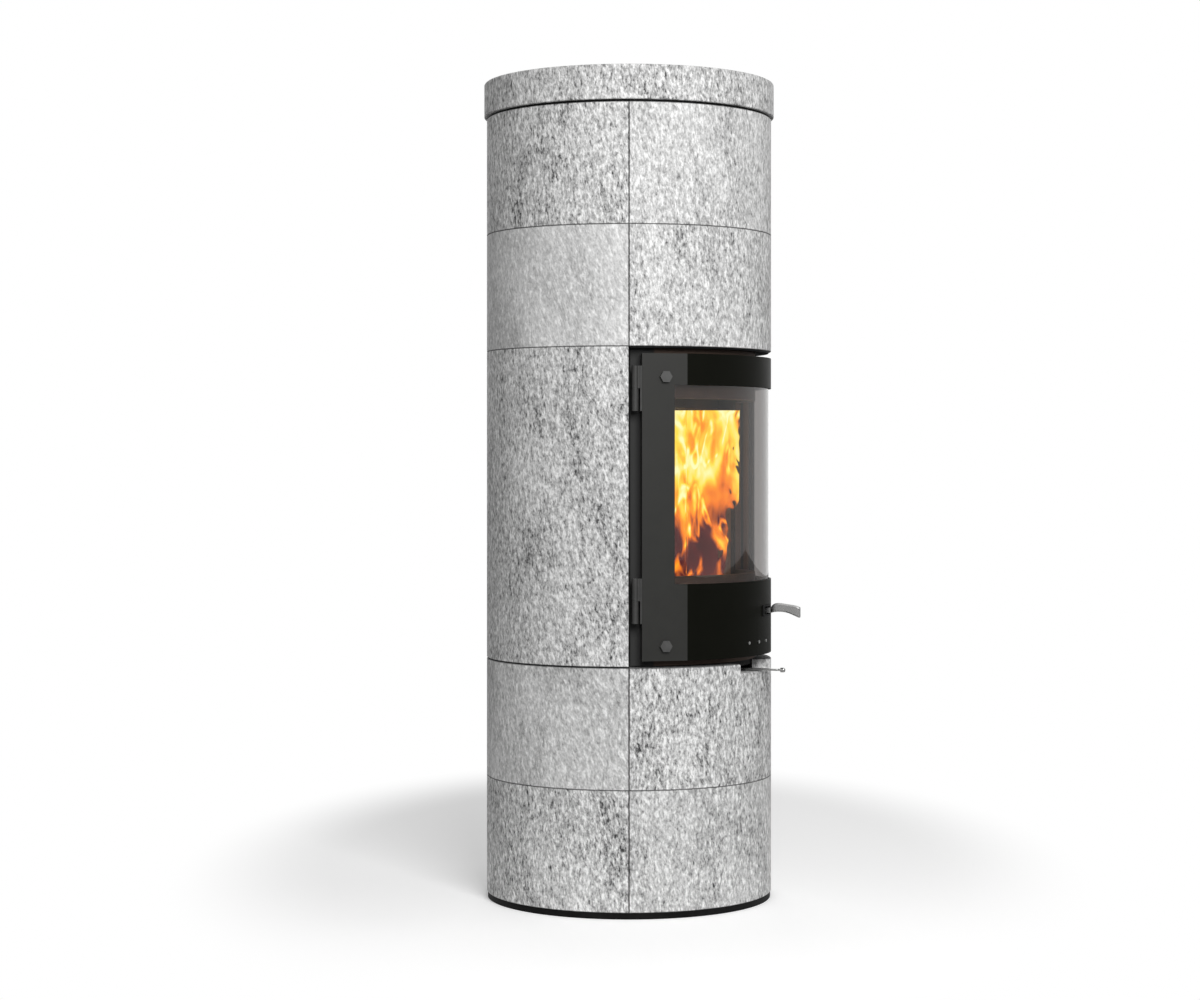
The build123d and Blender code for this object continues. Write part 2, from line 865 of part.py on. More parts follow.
cheek_inner = handle_hub_height / 2 + seat_gap
bearing_half = cheek_inner + bearing_thickness
slot_low = handle_height - handle_slot_height / 2
slot_high = handle_height + handle_slot_height / 2
with BuildPart() as door_skin:
    door_body(0, door_inner, door_half_angle, door_bottom, door_top)
    return_angle = door_half_angle - arc_angle(door_sheet, body_radius)
    door_body(
        door_sheet,
        door_inner - door_sheet,
        return_angle,
        door_bottom + door_sheet,
        door_top - door_sheet,
        mode=Mode.SUBTRACT,
    )
    curved_block(
        door_inner + door_sheet,
        body_radius + door_sheet,
        -window_half_angle,
        window_half_angle,
        window_bottom,
        window_top,
        mode=Mode.SUBTRACT,
    )
    curved_block(
        door_inner + 2 * door_sheet,
        body_radius + door_sheet,
        handle_angle - handle_slot_half_angle,
        handle_angle + handle_slot_half_angle,
        slot_low,
        slot_high,
        mode=Mode.SUBTRACT,
    )
    for wing_plane, bolt_offset, bolt_height in bolt_planes:
        with BuildSketch(wing_plane):
            with Locations((bolt_offset, bolt_height)):
                Circle(door_bolt_radius)
        extrude(amount=-2 * door_sheet, mode=Mode.SUBTRACT)
    for stud_angle in stud_angles:
        with BuildSketch(radial_plane(stud_angle, body_radius - 2 * door_sheet, stud_height)):
            Circle(stud_radius)
        extrude(amount=3 * door_sheet, mode=Mode.SUBTRACT)
save(door_skin.part, "door_skin")

panel_edge = door_half_angle - arc_angle(door_sheet + seat_gap, door_inner)
panel_outer = door_inner + panel_sheet
panel_low = door_bottom + door_sheet + seat_gap
panel_high = door_top - door_sheet - seat_gap
hook_slot_half = arc_angle(bearing_width / 2 + seat_gap, door_inner)
with BuildPart() as door_inner_panel:
    curved_block(door_inner, panel_outer, -panel_edge, panel_edge, panel_low, panel_high)
    curved_block(
        door_inner - panel_sheet,
        panel_outer + panel_sheet,
        -window_half_angle,
        window_half_angle,
        window_bottom,
        window_top,
        mode=Mode.SUBTRACT,
    )
    curved_block(
        door_inner - panel_sheet,
        panel_outer + panel_sheet,
        handle_angle - hook_slot_half,
        handle_angle + hook_slot_half,
        handle_height - bearing_half - seat_gap,
        handle_height + bearing_half + seat_gap,
        mode=Mode.SUBTRACT,
    )
save(door_inner_panel.part, "door_inner_panel")

glass_low = window_bottom - glass_overlap
glass_high = window_top + glass_overlap
tape_inner_angle = window_half_angle + arc_angle(seam_gap, body_radius)
with BuildPart() as glass_gasket:
    door_layer(door_sheet, glass_tape, glass_half_angle, glass_low, glass_high)
    curved_block(
        door_inner,
        body_radius,
        -tape_inner_angle,
        tape_inner_angle,
        window_bottom - seam_gap,
        window_top + seam_gap,
        mode=Mode.SUBTRACT,
    )
save(glass_gasket.part, "glass_gasket")

glass_inset = door_sheet + glass_tape
with BuildPart() as door_glass:
    door_layer(glass_inset, glass_thickness, glass_half_angle, glass_low, glass_high)
save(door_glass.part, "door_glass")

glass_back = body_radius - glass_inset - glass_thickness
with BuildPart() as glass_clips:
    for clip_angle in clip_angles:
        spread = arc_angle(glass_clip_width, glass_back) / 2
        for clip_bottom in (glass_low, glass_high - glass_clip_height + seam_gap):
            curved_block(
                panel_outer,
                glass_back,
                clip_angle - spread,
                clip_angle + spread,
                clip_bottom,
                clip_bottom + glass_clip_height - seam_gap,
            )
save(glass_clips.part, "glass_clips")

gasket_low = door_bottom + gasket_inset
gasket_high = door_top - gasket_inset - gasket_width
gasket_angle = arc_angle(gasket_width, frame_outer)
with BuildPart() as door_gasket:
    curved_block(
        frame_outer + seat_gap,
        door_inner,
        -gasket_half_angle,
        gasket_half_angle,
        gasket_low,
        gasket_high,
    )
    curved_block(
        frame_inner,
        body_radius,
        -gasket_half_angle + gasket_angle,
        gasket_half_angle - gasket_angle,
        gasket_low + gasket_width,
        gasket_high - gasket_width,
        mode=Mode.SUBTRACT,
    )
save(door_gasket.part, "door_gasket")

with BuildPart() as door_bolts:
    for wing_plane, bolt_offset, bolt_height in bolt_planes:
        with BuildSketch(wing_plane):
            with Locations((bolt_offset, bolt_height)):
                RegularPolygon(door_bolt_flats / 2, 6, major_radius=False)
        extrude(amount=door_bolt_head)
        with BuildSketch(wing_plane):
            with Locations((bolt_offset, bolt_height)):
                Circle(door_bolt_radius)
        extrude(amount=-door_bolt_length)
save(door_bolts.part, "door_bolts")

with BuildPart() as band_studs:
    for stud_angle in stud_angles:
        with BuildSketch(radial_plane(stud_angle, body_radius - stud_length, stud_height)):
            Circle(stud_radius)
        extrude(amount=stud_length)
        with BuildSketch(radial_plane(stud_angle, body_radius, stud_height)):
            Circle(stud_head_radius)
        extrude(amount=stud_proud)
save(band_studs.part, "band_studs")

# Hinges: the fixed barrel is the lower half and carries the pin
hinge_point = polar(hinge_radius, hinge_angle)
barrel_height = (hinge_height - hinge_gap) / 2
with BuildPart() as hinge_brackets:
    for hinge_bottom in hinge_bottoms:
        with BuildSketch(Plane.XY.offset(hinge_bottom)):
            with Locations(hinge_point):
                Circle(barrel_radius)
            web_spread = arc_angle(leaf_thickness, hinge_radius) / 2
            sector(frame_outer, hinge_radius, hinge_angle - web_spread, hinge_angle + web_spread)
            with Locations(hinge_point):
                Circle(hinge_pin_radius, mode=Mode.SUBTRACT)
        extrude(amount=barrel_height)
save(hinge_brackets.part, "hinge_brackets")

with BuildPart() as hinge_pins:
    for hinge_bottom in hinge_bottoms:
        with BuildSketch(Plane.XY.offset(hinge_bottom)):
            with Locations(hinge_point):
                Circle(hinge_pin_radius)
        extrude(amount=hinge_height)
save(hinge_pins.part, "hinge_pins")

leaf_side = door_half_angle + arc_angle(seat_gap, body_radius)
leaf_spread = arc_angle(door_sheet, body_radius)
with BuildPart() as door_hinge_leaves:
    for hinge_bottom in hinge_bottoms:
        leaf_low = hinge_bottom + barrel_height + hinge_gap
        with BuildSketch(Plane.XY.offset(hinge_bottom)):
            leaf_outer = hinge_radius + barrel_radius
            sector(door_inner, leaf_outer, -leaf_side - leaf_spread, -leaf_side)
        extrude(amount=hinge_height)
        with BuildSketch(Plane.XY.offset(leaf_low)):
            with Locations(hinge_point):
                Circle(barrel_radius)
            sector(
                hinge_radius,
                hinge_radius + leaf_thickness,
                hinge_angle,
                -leaf_side,
            )
            with Locations(hinge_point):
                Circle(hinge_pin_radius + running_gap, mode=Mode.SUBTRACT)
        extrude(amount=barrel_height)
save(door_hinge_leaves.part, "door_hinge_leaves")

# Handle: a lever through a framed slot, turning on an upright pin between two cheeks
with BuildPart() as handle_bezel:
    curved_block(
        body_radius,
        body_radius + bezel_proud,
        handle_angle - bezel_half_angle,
        handle_angle + bezel_half_angle,
        handle_height - bezel_height / 2,
        handle_height + bezel_height / 2,
    )
    curved_block(
        body_radius - bezel_proud,
        body_radius + 2 * bezel_proud,
        handle_angle - handle_slot_half_angle,
        handle_angle + handle_slot_half_angle,
        slot_low,
        slot_high,
        mode=Mode.SUBTRACT,
    )
save(handle_bezel.part, "handle_bezel")

cheek_spread = arc_angle(bearing_width, body_radius) / 2
pivot_point = polar(handle_pivot, handle_angle)
with BuildPart() as handle_bearing:
    for cheek_bottom in (handle_height - bearing_half, handle_height + cheek_inner):
        with BuildSketch(Plane.XY.offset(cheek_bottom)):
            sector(
                door_inner - cheek_proud,
                body_radius - door_sheet,
                handle_angle - cheek_spread,
                handle_angle + cheek_spread,
            )
            with Locations(pivot_point):
                Circle(handle_pin_radius, mode=Mode.SUBTRACT)
        extrude(amount=bearing_thickness)
save(handle_bearing.part, "handle_bearing")

with BuildPart() as handle_pin:
    with BuildSketch(Plane.XY.offset(handle_height - bearing_half)):
        with Locations(pivot_point):
            Circle(handle_pin_radius)
    extrude(amount=2 * bearing_half)
save(handle_pin.part, "handle_pin")

# Blade sections from root to tip: distance along the blade, rise, width and height
blade_sections = tuple(zip(blade_stations, blade_rises, blade_widths, blade_heights))
bar_end = blade_start + blade_root
with BuildPart() as door_handle:
    for station, rise, width, height in blade_sections:
        with BuildSketch(radial_plane(handle_angle, blade_start + station, handle_height + rise)):
            RectangleRounded(width, height, blade_rounding)
    loft()
    with BuildSketch(upright_plane(handle_angle)):
        with Locations(((handle_pivot + bar_end) / 2, handle_height)):
            Rectangle(bar_end - handle_pivot, handle_bar_height)
    extrude(amount=handle_bar_width / 2, both=True)
    with BuildSketch(Plane.XY.offset(handle_height - handle_hub_height / 2)):
        with Locations(pivot_point):
            Circle(handle_hub_radius)
    extrude(amount=handle_hub_height)
    with BuildSketch(Plane.XY.offset(handle_height - handle_hub_height / 2)):
        with Locations(pivot_point):
            Circle(handle_pin_radius + running_gap)
    extrude(amount=handle_hub_height, mode=Mode.SUBTRACT)
save(door_handle.part, "door_handle")

# The hook reaches in from the hub and catches behind the keeper
hook_back = frame_outer - seam_gap - hook_tip_width
hook_front = handle_pivot - handle_hub_radius
with BuildPart() as latch_hook:
    with BuildSketch(level_plane(handle_angle, handle_height - hook_height / 2)):
        with Locations(((hook_back + handle_pivot) / 2, 0)):
            Rectangle(handle_pivot - hook_back, hook_arm_width)
        with Locations((hook_back + hook_tip_width / 2, (hook_reach - hook_arm_width / 2) / 2)):
            Rectangle(hook_tip_width, hook_reach + hook_arm_width / 2)
    extrude(amount=hook_height)
    with BuildSketch(Plane.XY.offset(handle_height - handle_hub_height / 2)):
        with Locations(pivot_point):
            Circle(handle_hub_radius)
    extrude(amount=handle_hub_height, mode=Mode.SUBTRACT)
save(latch_hook.part, "latch_hook")

with BuildPart() as latch_keeper:
    with BuildSketch(level_plane(handle_angle, keeper_bottom)):
        with Locations((frame_outer + seat_gap + keeper_thickness / 2, keeper_offset)):
            Rectangle(keeper_thickness, keeper_width)
    extrude(amount=keeper_top - keeper_bottom)
save(latch_keeper.part, "latch_keeper")

# Air control: valve disc, flat lever and turned knob, all turning about the stove's axis
with BuildPart() as air_gate:
    ring_block(pivot_radius + running_gap, gate_radius, gate_bottom, lever_bottom)
    for slot in range(valve_slots):
        slot_start = slot * 360 / valve_slots - valve_slot_angle / 2 + valve_stagger
        curved_block(
            valve_slot_inner,
            valve_slot_outer,
            slot_start,
            slot_start + valve_slot_angle,
            gate_bottom,
            lever_bottom,
            mode=Mode.SUBTRACT,
        )
save(air_gate.part, "air_gate")

with BuildPart() as air_lever:
    with BuildSketch(level_plane(0, lever_bottom)):
        Circle(lever_hub_radius)
        with Locations((lever_reach / 2, 0)):
            Rectangle(lever_reach, lever_width)
        Circle(pivot_radius + running_gap, mode=Mode.SUBTRACT)
    extrude(amount=lever_thickness)
save(air_lever.part, "air_lever")

with BuildPart() as air_knob:
    knob_height = lever_bottom + lever_thickness / 2
    with BuildSketch(radial_plane(0, lever_reach, knob_height)):
        Circle(lever_neck_radius)
    extrude(amount=lever_neck_length)
    with BuildSketch(radial_plane(0, lever_reach + lever_neck_length, knob_height)):
        Circle(knob_radius)
    extrude(amount=knob_length)
    knob_rim = air_knob.edges().filter_by(GeomType.CIRCLE).sort_by(Axis.Y)[0]
    fillet(knob_rim, knob_radius / 2)
save(air_knob.part, "air_knob")
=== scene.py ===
# %% [markdown]
# # A round soapstone stove
# This lesson dresses a finished metal and stone model of a wood stove. The model gives every
# part its true size and place, so the work here is finishes, soft seals, light and a camera.
# The first step loads the model and moves the place of each piece into its own mesh.

# %% Load the model and count its pieces
from math import acos, cos, degrees, pi, radians, sin

import bmesh
import bpy
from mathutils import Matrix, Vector


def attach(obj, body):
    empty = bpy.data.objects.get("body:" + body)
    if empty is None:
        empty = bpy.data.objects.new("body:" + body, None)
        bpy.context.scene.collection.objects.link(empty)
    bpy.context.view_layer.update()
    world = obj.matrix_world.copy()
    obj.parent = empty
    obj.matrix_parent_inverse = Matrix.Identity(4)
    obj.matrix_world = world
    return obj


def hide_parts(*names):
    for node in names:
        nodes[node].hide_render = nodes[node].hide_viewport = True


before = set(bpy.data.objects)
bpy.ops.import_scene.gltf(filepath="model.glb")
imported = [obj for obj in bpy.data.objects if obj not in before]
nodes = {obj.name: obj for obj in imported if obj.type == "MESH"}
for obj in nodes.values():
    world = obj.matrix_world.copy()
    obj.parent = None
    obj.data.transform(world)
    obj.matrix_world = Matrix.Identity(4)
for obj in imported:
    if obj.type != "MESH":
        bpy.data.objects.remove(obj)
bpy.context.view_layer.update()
print("pieces in the model:", len(nodes))

# %% [markdown]
# ## Places round the stove
# The stove is round, so a place on it is easiest to give as an angle from the front, a
# distance from the axis and a height. Three small helpers save lines later: one turns such
# a place into a point, one puts new data into the scene as an object at the origin, and one
# turns a camera or a lamp so that it looks along a line.

# %% Helpers for places and objects
def around(angle, distance, height):
    """Point at an angle from the stove's front, positive to the right of a viewer."""
    turn = radians(angle)
    return Vector((distance * sin(turn), -distance * cos(turn), height))


def placed(name, data):
    """Put some data into the scene as an object that stands at the origin."""
    made = bpy.data.objects.new(name, data)
    bpy.context.scene.collection.objects.link(made)
    return made


def look_along(thing, sight):
    """Turn a camera or a lamp, which look down their own -Z, along a line."""
    thing.rotation_euler = sight.to_track_quat("-Z", "Y").to_euler()


print("middle of the door:", [round(value, 3) for value in around(0.0, 0.275, 0.77)])

# %% [markdown]
# ## The camera
# The stove was photographed from its left, almost level, with a long lens. The middle seam
# between two stones lies on the stove's centre line in the picture, so the camera stands in
# the plane of that seam, 65 degrees round from the front. The joints curve up above eye
# height and down below it, and how much they curve gives the distance and the eye height.
# The picture is framed off centre, which a small lens shift copies without tilting the view.

# %% Put the camera where the picture was taken
view_angle = -65.0
camera_distance = 4.876
camera_height = 0.8346
picture_width = 1200.0
picture_right = 29.0
picture_up = 36.4

camera_data = bpy.data.cameras.new("camera")
camera_data.sensor_width = 36.0
camera_data.lens = 75.45
camera_data.shift_x = -picture_right / picture_width
camera_data.shift_y = -picture_up / picture_width
camera_data.clip_end = 60.0
camera = placed("camera", camera_data)
camera.location = around(view_angle, camera_distance, camera_height)
look_along(camera, Vector((-camera.location.x, -camera.location.y, 0.0)))
bpy.context.scene.camera = camera
print("camera at", [round(value, 3) for value in camera.location])

# %% [markdown]
# ## Writing materials as sums
# A procedural finish is mostly arithmetic: a bit of this noise, less of that one, kept
# between two limits. Node by node that is long, so a small class wraps a socket and lets
# Python's own operators add the Math nodes. The reflected forms, such as the one for a
# number minus a wire, let a line read as it would on paper.

# %% A socket that can be added and multiplied
class Wire:
    """A value that flows through a node tree, and answers to Python's operators."""

    def __init__(self, recipe, socket):
        self.recipe = recipe
        self.socket = socket

    def maths(self, operation, *values):
        inputs = dict(enumerate(values))
        return self.recipe.node("ShaderNodeMath", {"operation": operation}, inputs)

    def __add__(self, other):
        return self.maths("ADD", self, other)

    def __radd__(self, other):
        return self.maths("ADD", other, self)

    def __sub__(self, other):
        return self.maths("SUBTRACT", self, other)

    def __rsub__(self, other):
        return self.maths("SUBTRACT", other, self)

    def __mul__(self, other):
        return self.maths("MULTIPLY", self, other)

    def __rmul__(self, other):
        return self.maths("MULTIPLY", other, self)

    def __pow__(self, other):
        return self.maths("POWER", self, other)

    def __abs__(self):
        return self.maths("ABSOLUTE", self)

    def least(self, other):
        return self.maths("MINIMUM", self, other)

    def most(self, other):
        return self.maths("MAXIMUM", self, other)

    def sine(self):
        return self.maths("SINE", self)


print("a wire also knows:", [name for name in vars(Wire) if not name.startswith("_")])

# %% [markdown]
# ### One way to add any node
# A node has settings, such as a Math node's operation or a ramp's stops, and sockets, which
# hold a value or take a link. The settings come first, because some of them change which
# sockets there are. One function does this for every tree in the lesson, so the rope's
# Geometry Nodes further down use it as well.

# %% Add a node to a tree
def fill_ramp(ramp, stops):
    """Give a colour ramp its stops, each a position and a colour."""
    while len(ramp.elements) < len(stops):
        ramp.elements.new(1.0)
    for element, (position, colour) in zip(ramp.elements, stops):
        element.position = position
        element.color = (*colour, 1.0)


def add_node(tree, kind, settings, inputs):
    """Add a node: its settings first, then the values or links of its sockets."""
    made = tree.nodes.new(kind)
    for key, value in settings.items():
        if key == "stops":
            fill_ramp(made.color_ramp, value)
        else:
            setattr(made, key, value)
    for slot, value in inputs.items():
        source = value.socket if isinstance(value, Wire) else value
        if isinstance(source, bpy.types.NodeSocket):
            tree.links.new(source, made.inputs[slot])
        else:
            made.inputs[slot].default_value = source
    return made


print("nodes are added by", add_node.__name__)

# %% [markdown]
# ### A recipe for one finish
# A recipe holds one node tree and grows it. Its methods are the few things that stone,
# paint, metal and cloth all need: where a point is, noise of a given grain, a soft step
# between two limits, a blend of two colours and a bump. Noise takes its size in
# millimetres, because that is how a maker would measure a grain.

# %% A recipe that builds one finish
class Recipe:
    """The node tree of one material, or of the world, written as short lines."""

    def __init__(self, name, family="materials"):
        self.result = getattr(bpy.data, family).new(name)
        self.result.use_nodes = True
        self.tree = self.result.node_tree
        self.tree.nodes.clear()

    def node(self, kind, settings, inputs, output=0):
        made = add_node(self.tree, kind, settings, inputs)
        if made.outputs:
            return Wire(self, made.outputs[output])
        return None

    def place(self):
        """Where a point is on the stove, in metres."""
        return self.node("ShaderNodeTexCoord", {}, {}, "Object")

    def chart(self):
        """Where a point is on the piece's own map."""
        return self.node("ShaderNodeTexCoord", {}, {}, "UV")

    def ray(self, kind):
        """One where the light ray is of a kind, such as a camera ray, and zero elsewhere."""
        return self.node("ShaderNodeLightPath", {}, {}, kind)

    def parts(self, vector):
        """The three numbers of a vector."""
        outputs = self.node("ShaderNodeSeparateXYZ", {}, {0: vector}).socket.node.outputs
        return [Wire(self, outputs[axis]) for axis in range(3)]

    def moved(self, vector, shift, stretch):
        inputs = {"Vector": vector, "Location": shift, "Scale": stretch}
        return self.node("ShaderNodeMapping", {}, inputs)

    def noise(self, vector, size, detail=2.0, roughness=0.5, distortion=0.0):
        """Noise from zero to one, with blobs about this many millimetres across."""
        inputs = {
            "Vector": vector,
            "Scale": 1000.0 / size,
            "Detail": detail,
            "Roughness": roughness,
            "Distortion": distortion,
        }
        return self.node("ShaderNodeTexNoise", {}, inputs)

    def step(self, value, low, high, start=0.0, end=1.0):
        """A soft step from start to end as the value goes from low to high."""
        inputs = {"Value": value, "From Min": low, "From Max": high, "To Min": start, "To Max": end}
        return self.node("ShaderNodeMapRange", {"interpolation_type": "SMOOTHSTEP"}, inputs)

    def mix(self, factor, first, second):
        """The first colour where the factor is zero, the second where it is one."""
        inputs = {0: factor}
        for slot, colour in ((6, first), (7, second)):
            inputs[slot] = colour if isinstance(colour, Wire) else (*colour, 1.0)
        return self.node("ShaderNodeMix", {"data_type": "RGBA"}, inputs, 2)

    def bump(self, height, strength, distance):
        inputs = {"Height": height, "Strength": strength, "Distance": distance}
        return self.node("ShaderNodeBump", {}, inputs)

    def surface(self, inputs):
        """End the tree in one Principled shader."""
        self.finish(self.node("ShaderNodeBsdfPrincipled", {}, inputs))

    def finish(self, shader):
        self.node("ShaderNodeOutputMaterial", {}, {"Surface": shader})


def paint_nodes(material, names):
    """Give pieces of the model a finish through their material slots."""
    for name in names:
        slots = nodes[name].data.materials
        slots.clear()
        slots.append(material)


print("a recipe offers:", [name for name in vars(Recipe) if not name.startswith("_")])

# %% [markdown]
# ## Soapstone
# Soapstone is cut from blocks, so the grain runs through it and each panel shows its own
# piece of the block. The honed face is pale grey. Talc makes soft white mottling, and darker
# minerals make short flecks that stand nearly upright and gather in loose drifts. A picture
# of stone wrapped round the panels would repeat and would smear on their edges. Noise in
# three dimensions, pulled long along one leaning axis, gives flecks that turn the corner
# from face to edge as real grain does. The joints between panels look like fine dark lines,
# so each panel darkens over its last two millimetres: painted shade in the joints, with a
# little dust.

# %% The dark line round a panel, painted shade and dust
joint_dark = 0.0006
joint_clear = 0.0018
seam_dark = 0.0007
seam_clear = 0.0019
seam_raggedness = 0.0012


def joint_dust_and_shade(recipe, place, grit, low, high, seams):
    """One on a panel's face, less along its foot, top and upright seams: painted shade and dust."""
    across, along, up = recipe.parts(place)
    edge = recipe.step(up, low + joint_dark, low + joint_clear)
    edge = edge * recipe.step(up, high - joint_clear, high - joint_dark, 1.0, 0.0)
    for seam in seams:
        turn = radians(seam)
        away = abs(across * cos(turn) + along * sin(turn))
        ragged = away + (grit - 0.5) * seam_raggedness
        edge = edge * recipe.step(ragged, seam_dark, seam_clear)
    return edge * 0.7 + 0.3


print("joint line in millimetres:", joint_clear * 1000.0)

# %% [markdown]
# ### The stone itself
# The recipe adds up layers from large to small: clouds, bands, mottling and grit, then talc
# to lighten, and flecks and cracks to darken. A panel's look is four numbers: how far its
# grain leans, its tone, how flecked it is and how streaked. Most of what the eye reads as
# stone is in the balance of these layers, so each was set against the real panel's
# average grey and its contrast.

# %% The recipe for one panel of stone
grain_centre = (0.0, 0.0, 0.8)
grain_axis = (0.906, 0.423, 0.0)
fleck_stretch = (1.0, 1.0, 0.50)
layer_stretch = (1.0, 1.0, 0.12)
stone_dark = (0.012, 0.012, 0.013)
stone_pale = (0.90, 0.90, 0.895)


def soapstone(name, shift, look, low, high, seams):
    """Honed soapstone for one panel, whose foot and top are at the low and high levels."""
    lean, tone, fleck, streak = look
    recipe = Recipe(name)
    place = recipe.place()
    turned = recipe.node(
        "ShaderNodeVectorRotate",
        {"rotation_type": "AXIS_ANGLE"},
        {"Vector": place, "Center": grain_centre, "Axis": grain_axis, "Angle": lean},
    )
    grain = recipe.moved(turned, shift, fleck_stretch)
    layered = recipe.moved(turned, shift, layer_stretch)

    # Layers of noise, from drifts some centimetres long to grit of a few millimetres
    drifts = recipe.noise(grain, 62.0, 3.0, 0.6, 0.4)
    clouds = recipe.noise(grain, 120.0, 2.0, 0.5)
    mottle = recipe.noise(grain, 7.0, 3.0, 0.75)
    grit = recipe.noise(grain, 3.4, 2.0, 0.6)
    bands = recipe.noise(layered, 12.0, 2.0, 0.55, 0.5)
    spots = recipe.noise(grain, 5.5, 2.0, 0.55, 0.6)
    scars = recipe.noise(layered, 4.2, 2.0, 0.5, 1.2)

    # Flecks and cracks are more common inside a drift
    crowd = recipe.step(drifts, 0.44, 0.66)
    flecks = recipe.step(spots + crowd * 0.10, 0.54, 0.76)
    cracks = recipe.step(scars + crowd * 0.07, 0.68, 0.78)
    talc = recipe.step(recipe.noise(grain, 7.0, 2.0, 0.6, 0.3), 0.52, 0.72)

    # A strongly flecked panel is livelier in its mottling and grit as well
    lively = fleck * 2.3 + 0.40
    body = tone + (clouds - 0.5) * 0.36 + (mottle - 0.5) * (lively * 1.4)
    body = body + (grit - 0.5) * lively + (bands - 0.5) * streak + talc * 0.14
    body = body - flecks * (fleck * 0.8) - cracks * (fleck * 0.7) - crowd * 0.07
    # Near the joints the stone is darker: painted shade in the grooves, with a little dust
    level = body.most(0.03).least(1.0) * joint_dust_and_shade(recipe, place, grit, low, high, seams)
    relief = mottle * 0.5 + grit * 0.5 - flecks * 0.7
    recipe.surface({
        "Base Color": recipe.mix(level, stone_dark, stone_pale),
        "Roughness": 0.56 + flecks * 0.2 - talc * 0.08,
        "Specular IOR Level": 0.3,
        "Normal": recipe.bump(relief, 0.35, 0.0006),
    })
    return recipe.result


print("stone recipe:", soapstone.__doc__)

# %% [markdown]
# ### Fourteen panels and a cap
# The panels stand in five rows. Every row but the middle one has a front stone and two side
# stones, and the middle row leaves its front to the door. Each panel takes its grain from
# another part of the block, so the shift grows with the row and the side. The panels on the
# side that was photographed have looks of their own, and the others share a plain one.

# %% Finish every panel and the cap
stone_rows = {
    1: (0.012, 0.236, ("front", "right", "left")),
    2: (0.236, 0.460, ("front", "right", "left")),
    3: (0.462, 1.050, ("right", "left")),
    4: (1.050, 1.274, ("front", "right", "left")),
    5: (1.274, 1.498, ("front", "right", "left")),
}
seam_angles = {"front": (-65.0, 65.0), "right": (65.0, 180.0), "left": (-65.0, 180.0)}

# Each look is the lean in radians, the tone, the flecks and the streaks
plain_look = (0.18, 0.62, 0.30, 0.12)
cap_look = (0.12, 0.61, 0.34, 0.10)
panel_looks = {
    "stone_row1_front": (0.10, 0.60, 0.26, 0.10),
    "stone_row1_left": (0.16, 0.58, 0.36, 0.12),
    "stone_row2_front": (0.08, 0.60, 0.38, 0.08),
    "stone_row2_left": (0.30, 0.64, 0.16, 0.20),
    "stone_row3_left": (0.20, 0.62, 0.34, 0.14),
    "stone_row4_front": (0.12, 0.63, 0.30, 0.10),
    "stone_row4_left": (0.34, 0.67, 0.10, 0.22),
    "stone_row5_front": (0.10, 0.65, 0.26, 0.10),
    "stone_row5_left": (0.14, 0.63, 0.36, 0.12),
}
cap_shift = (3.1, 8.2, 5.7)
cap_low = 1.4995
cap_high = 1.60
for row, (low, high, sides) in stone_rows.items():
    for number, side in enumerate(sides):
        panel = f"stone_row{row}_{side}"
        look = panel_looks.get(panel, plain_look)
        shift = (row * 1.37 + number * 0.61, number * 1.93, row * 0.77 + number * 0.29)
        paint_nodes(soapstone(panel, shift, look, low, high, seam_angles[side]), [panel])
paint_nodes(soapstone("stone_cap", cap_shift, cap_look, cap_low, cap_high, ()), ["cap_stone"])
print("stone finishes:", sum(item.name.startswith("stone_") for item in bpy.data.materials))

# %% [markdown]
# ## Black steel
# Heat-proof paint on sheet steel is matt to satin, with a fine orange-peel skin that spreads
# every highlight, and it rubs a little lighter where hands and cloths touch it. The flat
# wings of the door face the light and look dark grey. The curved bands above and below the
# glass look almost black. The door has one paint, so this is painted light: the wings get a
# lighter colour for the light they catch, and the curve a darker one as painted shade. Two
# materials on two sets of faces could do that, but the model's faces aren't sorted that way.
# One material has both versions, the smoother and darker one for the curve, and a Mix Shader
# chooses between them by the distance from the fold.

# %% Paint for the door
door_radius = 0.275
fold_across = door_radius * sin(radians(42.0))
fold_softness = 0.0004


def paint_grain(recipe, size):
    """Fine skin of sprayed paint, as a height for a bump."""
    place = recipe.place()
    return recipe.noise(place, size, 3.0, 0.6) + recipe.noise(place, size * 5.0, 2.0, 0.5) * 0.4


def door_paint():
    """One satin black paint, with painted light on the flat wings and painted shade on the round
    bands.
    """
    recipe = Recipe("door_paint")
    place = recipe.place()
    across = recipe.parts(place)[0]
    worn = recipe.noise(place, 38.0, 4.0, 0.65)
    relief = paint_grain(recipe, 0.9)
    # The wings' lighter colour is painted light, for the light that they catch
    flat = recipe.node("ShaderNodeBsdfPrincipled", {}, {
        "Base Color": recipe.mix(worn, (0.016, 0.016, 0.0145), (0.024, 0.024, 0.022)),
        "Roughness": 0.42 + worn * 0.12,
        "Specular IOR Level": 0.2,
        "Normal": recipe.bump(relief, 0.12, 0.0002),
    })
    # The curve's darker colour and weak reflection are painted shade
    curved = recipe.node("ShaderNodeBsdfPrincipled", {}, {
        "Base Color": recipe.mix(worn, (0.0040, 0.0042, 0.0030), (0.0062, 0.0064, 0.0045)),
        "Roughness": 0.34 + worn * 0.10,
        "Specular IOR Level": 0.03,
        "Normal": recipe.bump(relief, 0.08, 0.0002),
    })
    on_wing = recipe.step(abs(across), fold_across - fold_softness, fold_across + fold_softness)
    recipe.finish(recipe.node("ShaderNodeMixShader", {}, {0: on_wing, 1: curved, 2: flat}))
    return recipe.result


paint_nodes(door_paint(), ["door_skin"])
print("fold of the door, metres from the middle:", round(fold_across, 4))

# %% [markdown]
# ### Matt paint for the body
# The steel of the body has the same kind of paint in four depths: matt black inside, a
# deeper black for the base ring and the thin plates between the stones, a greyer one for
# the hinge post and one for the bolts. The face frame behind the door began as grey primer,
# and the fire has browned it round the window, so it gets a recipe of its own.

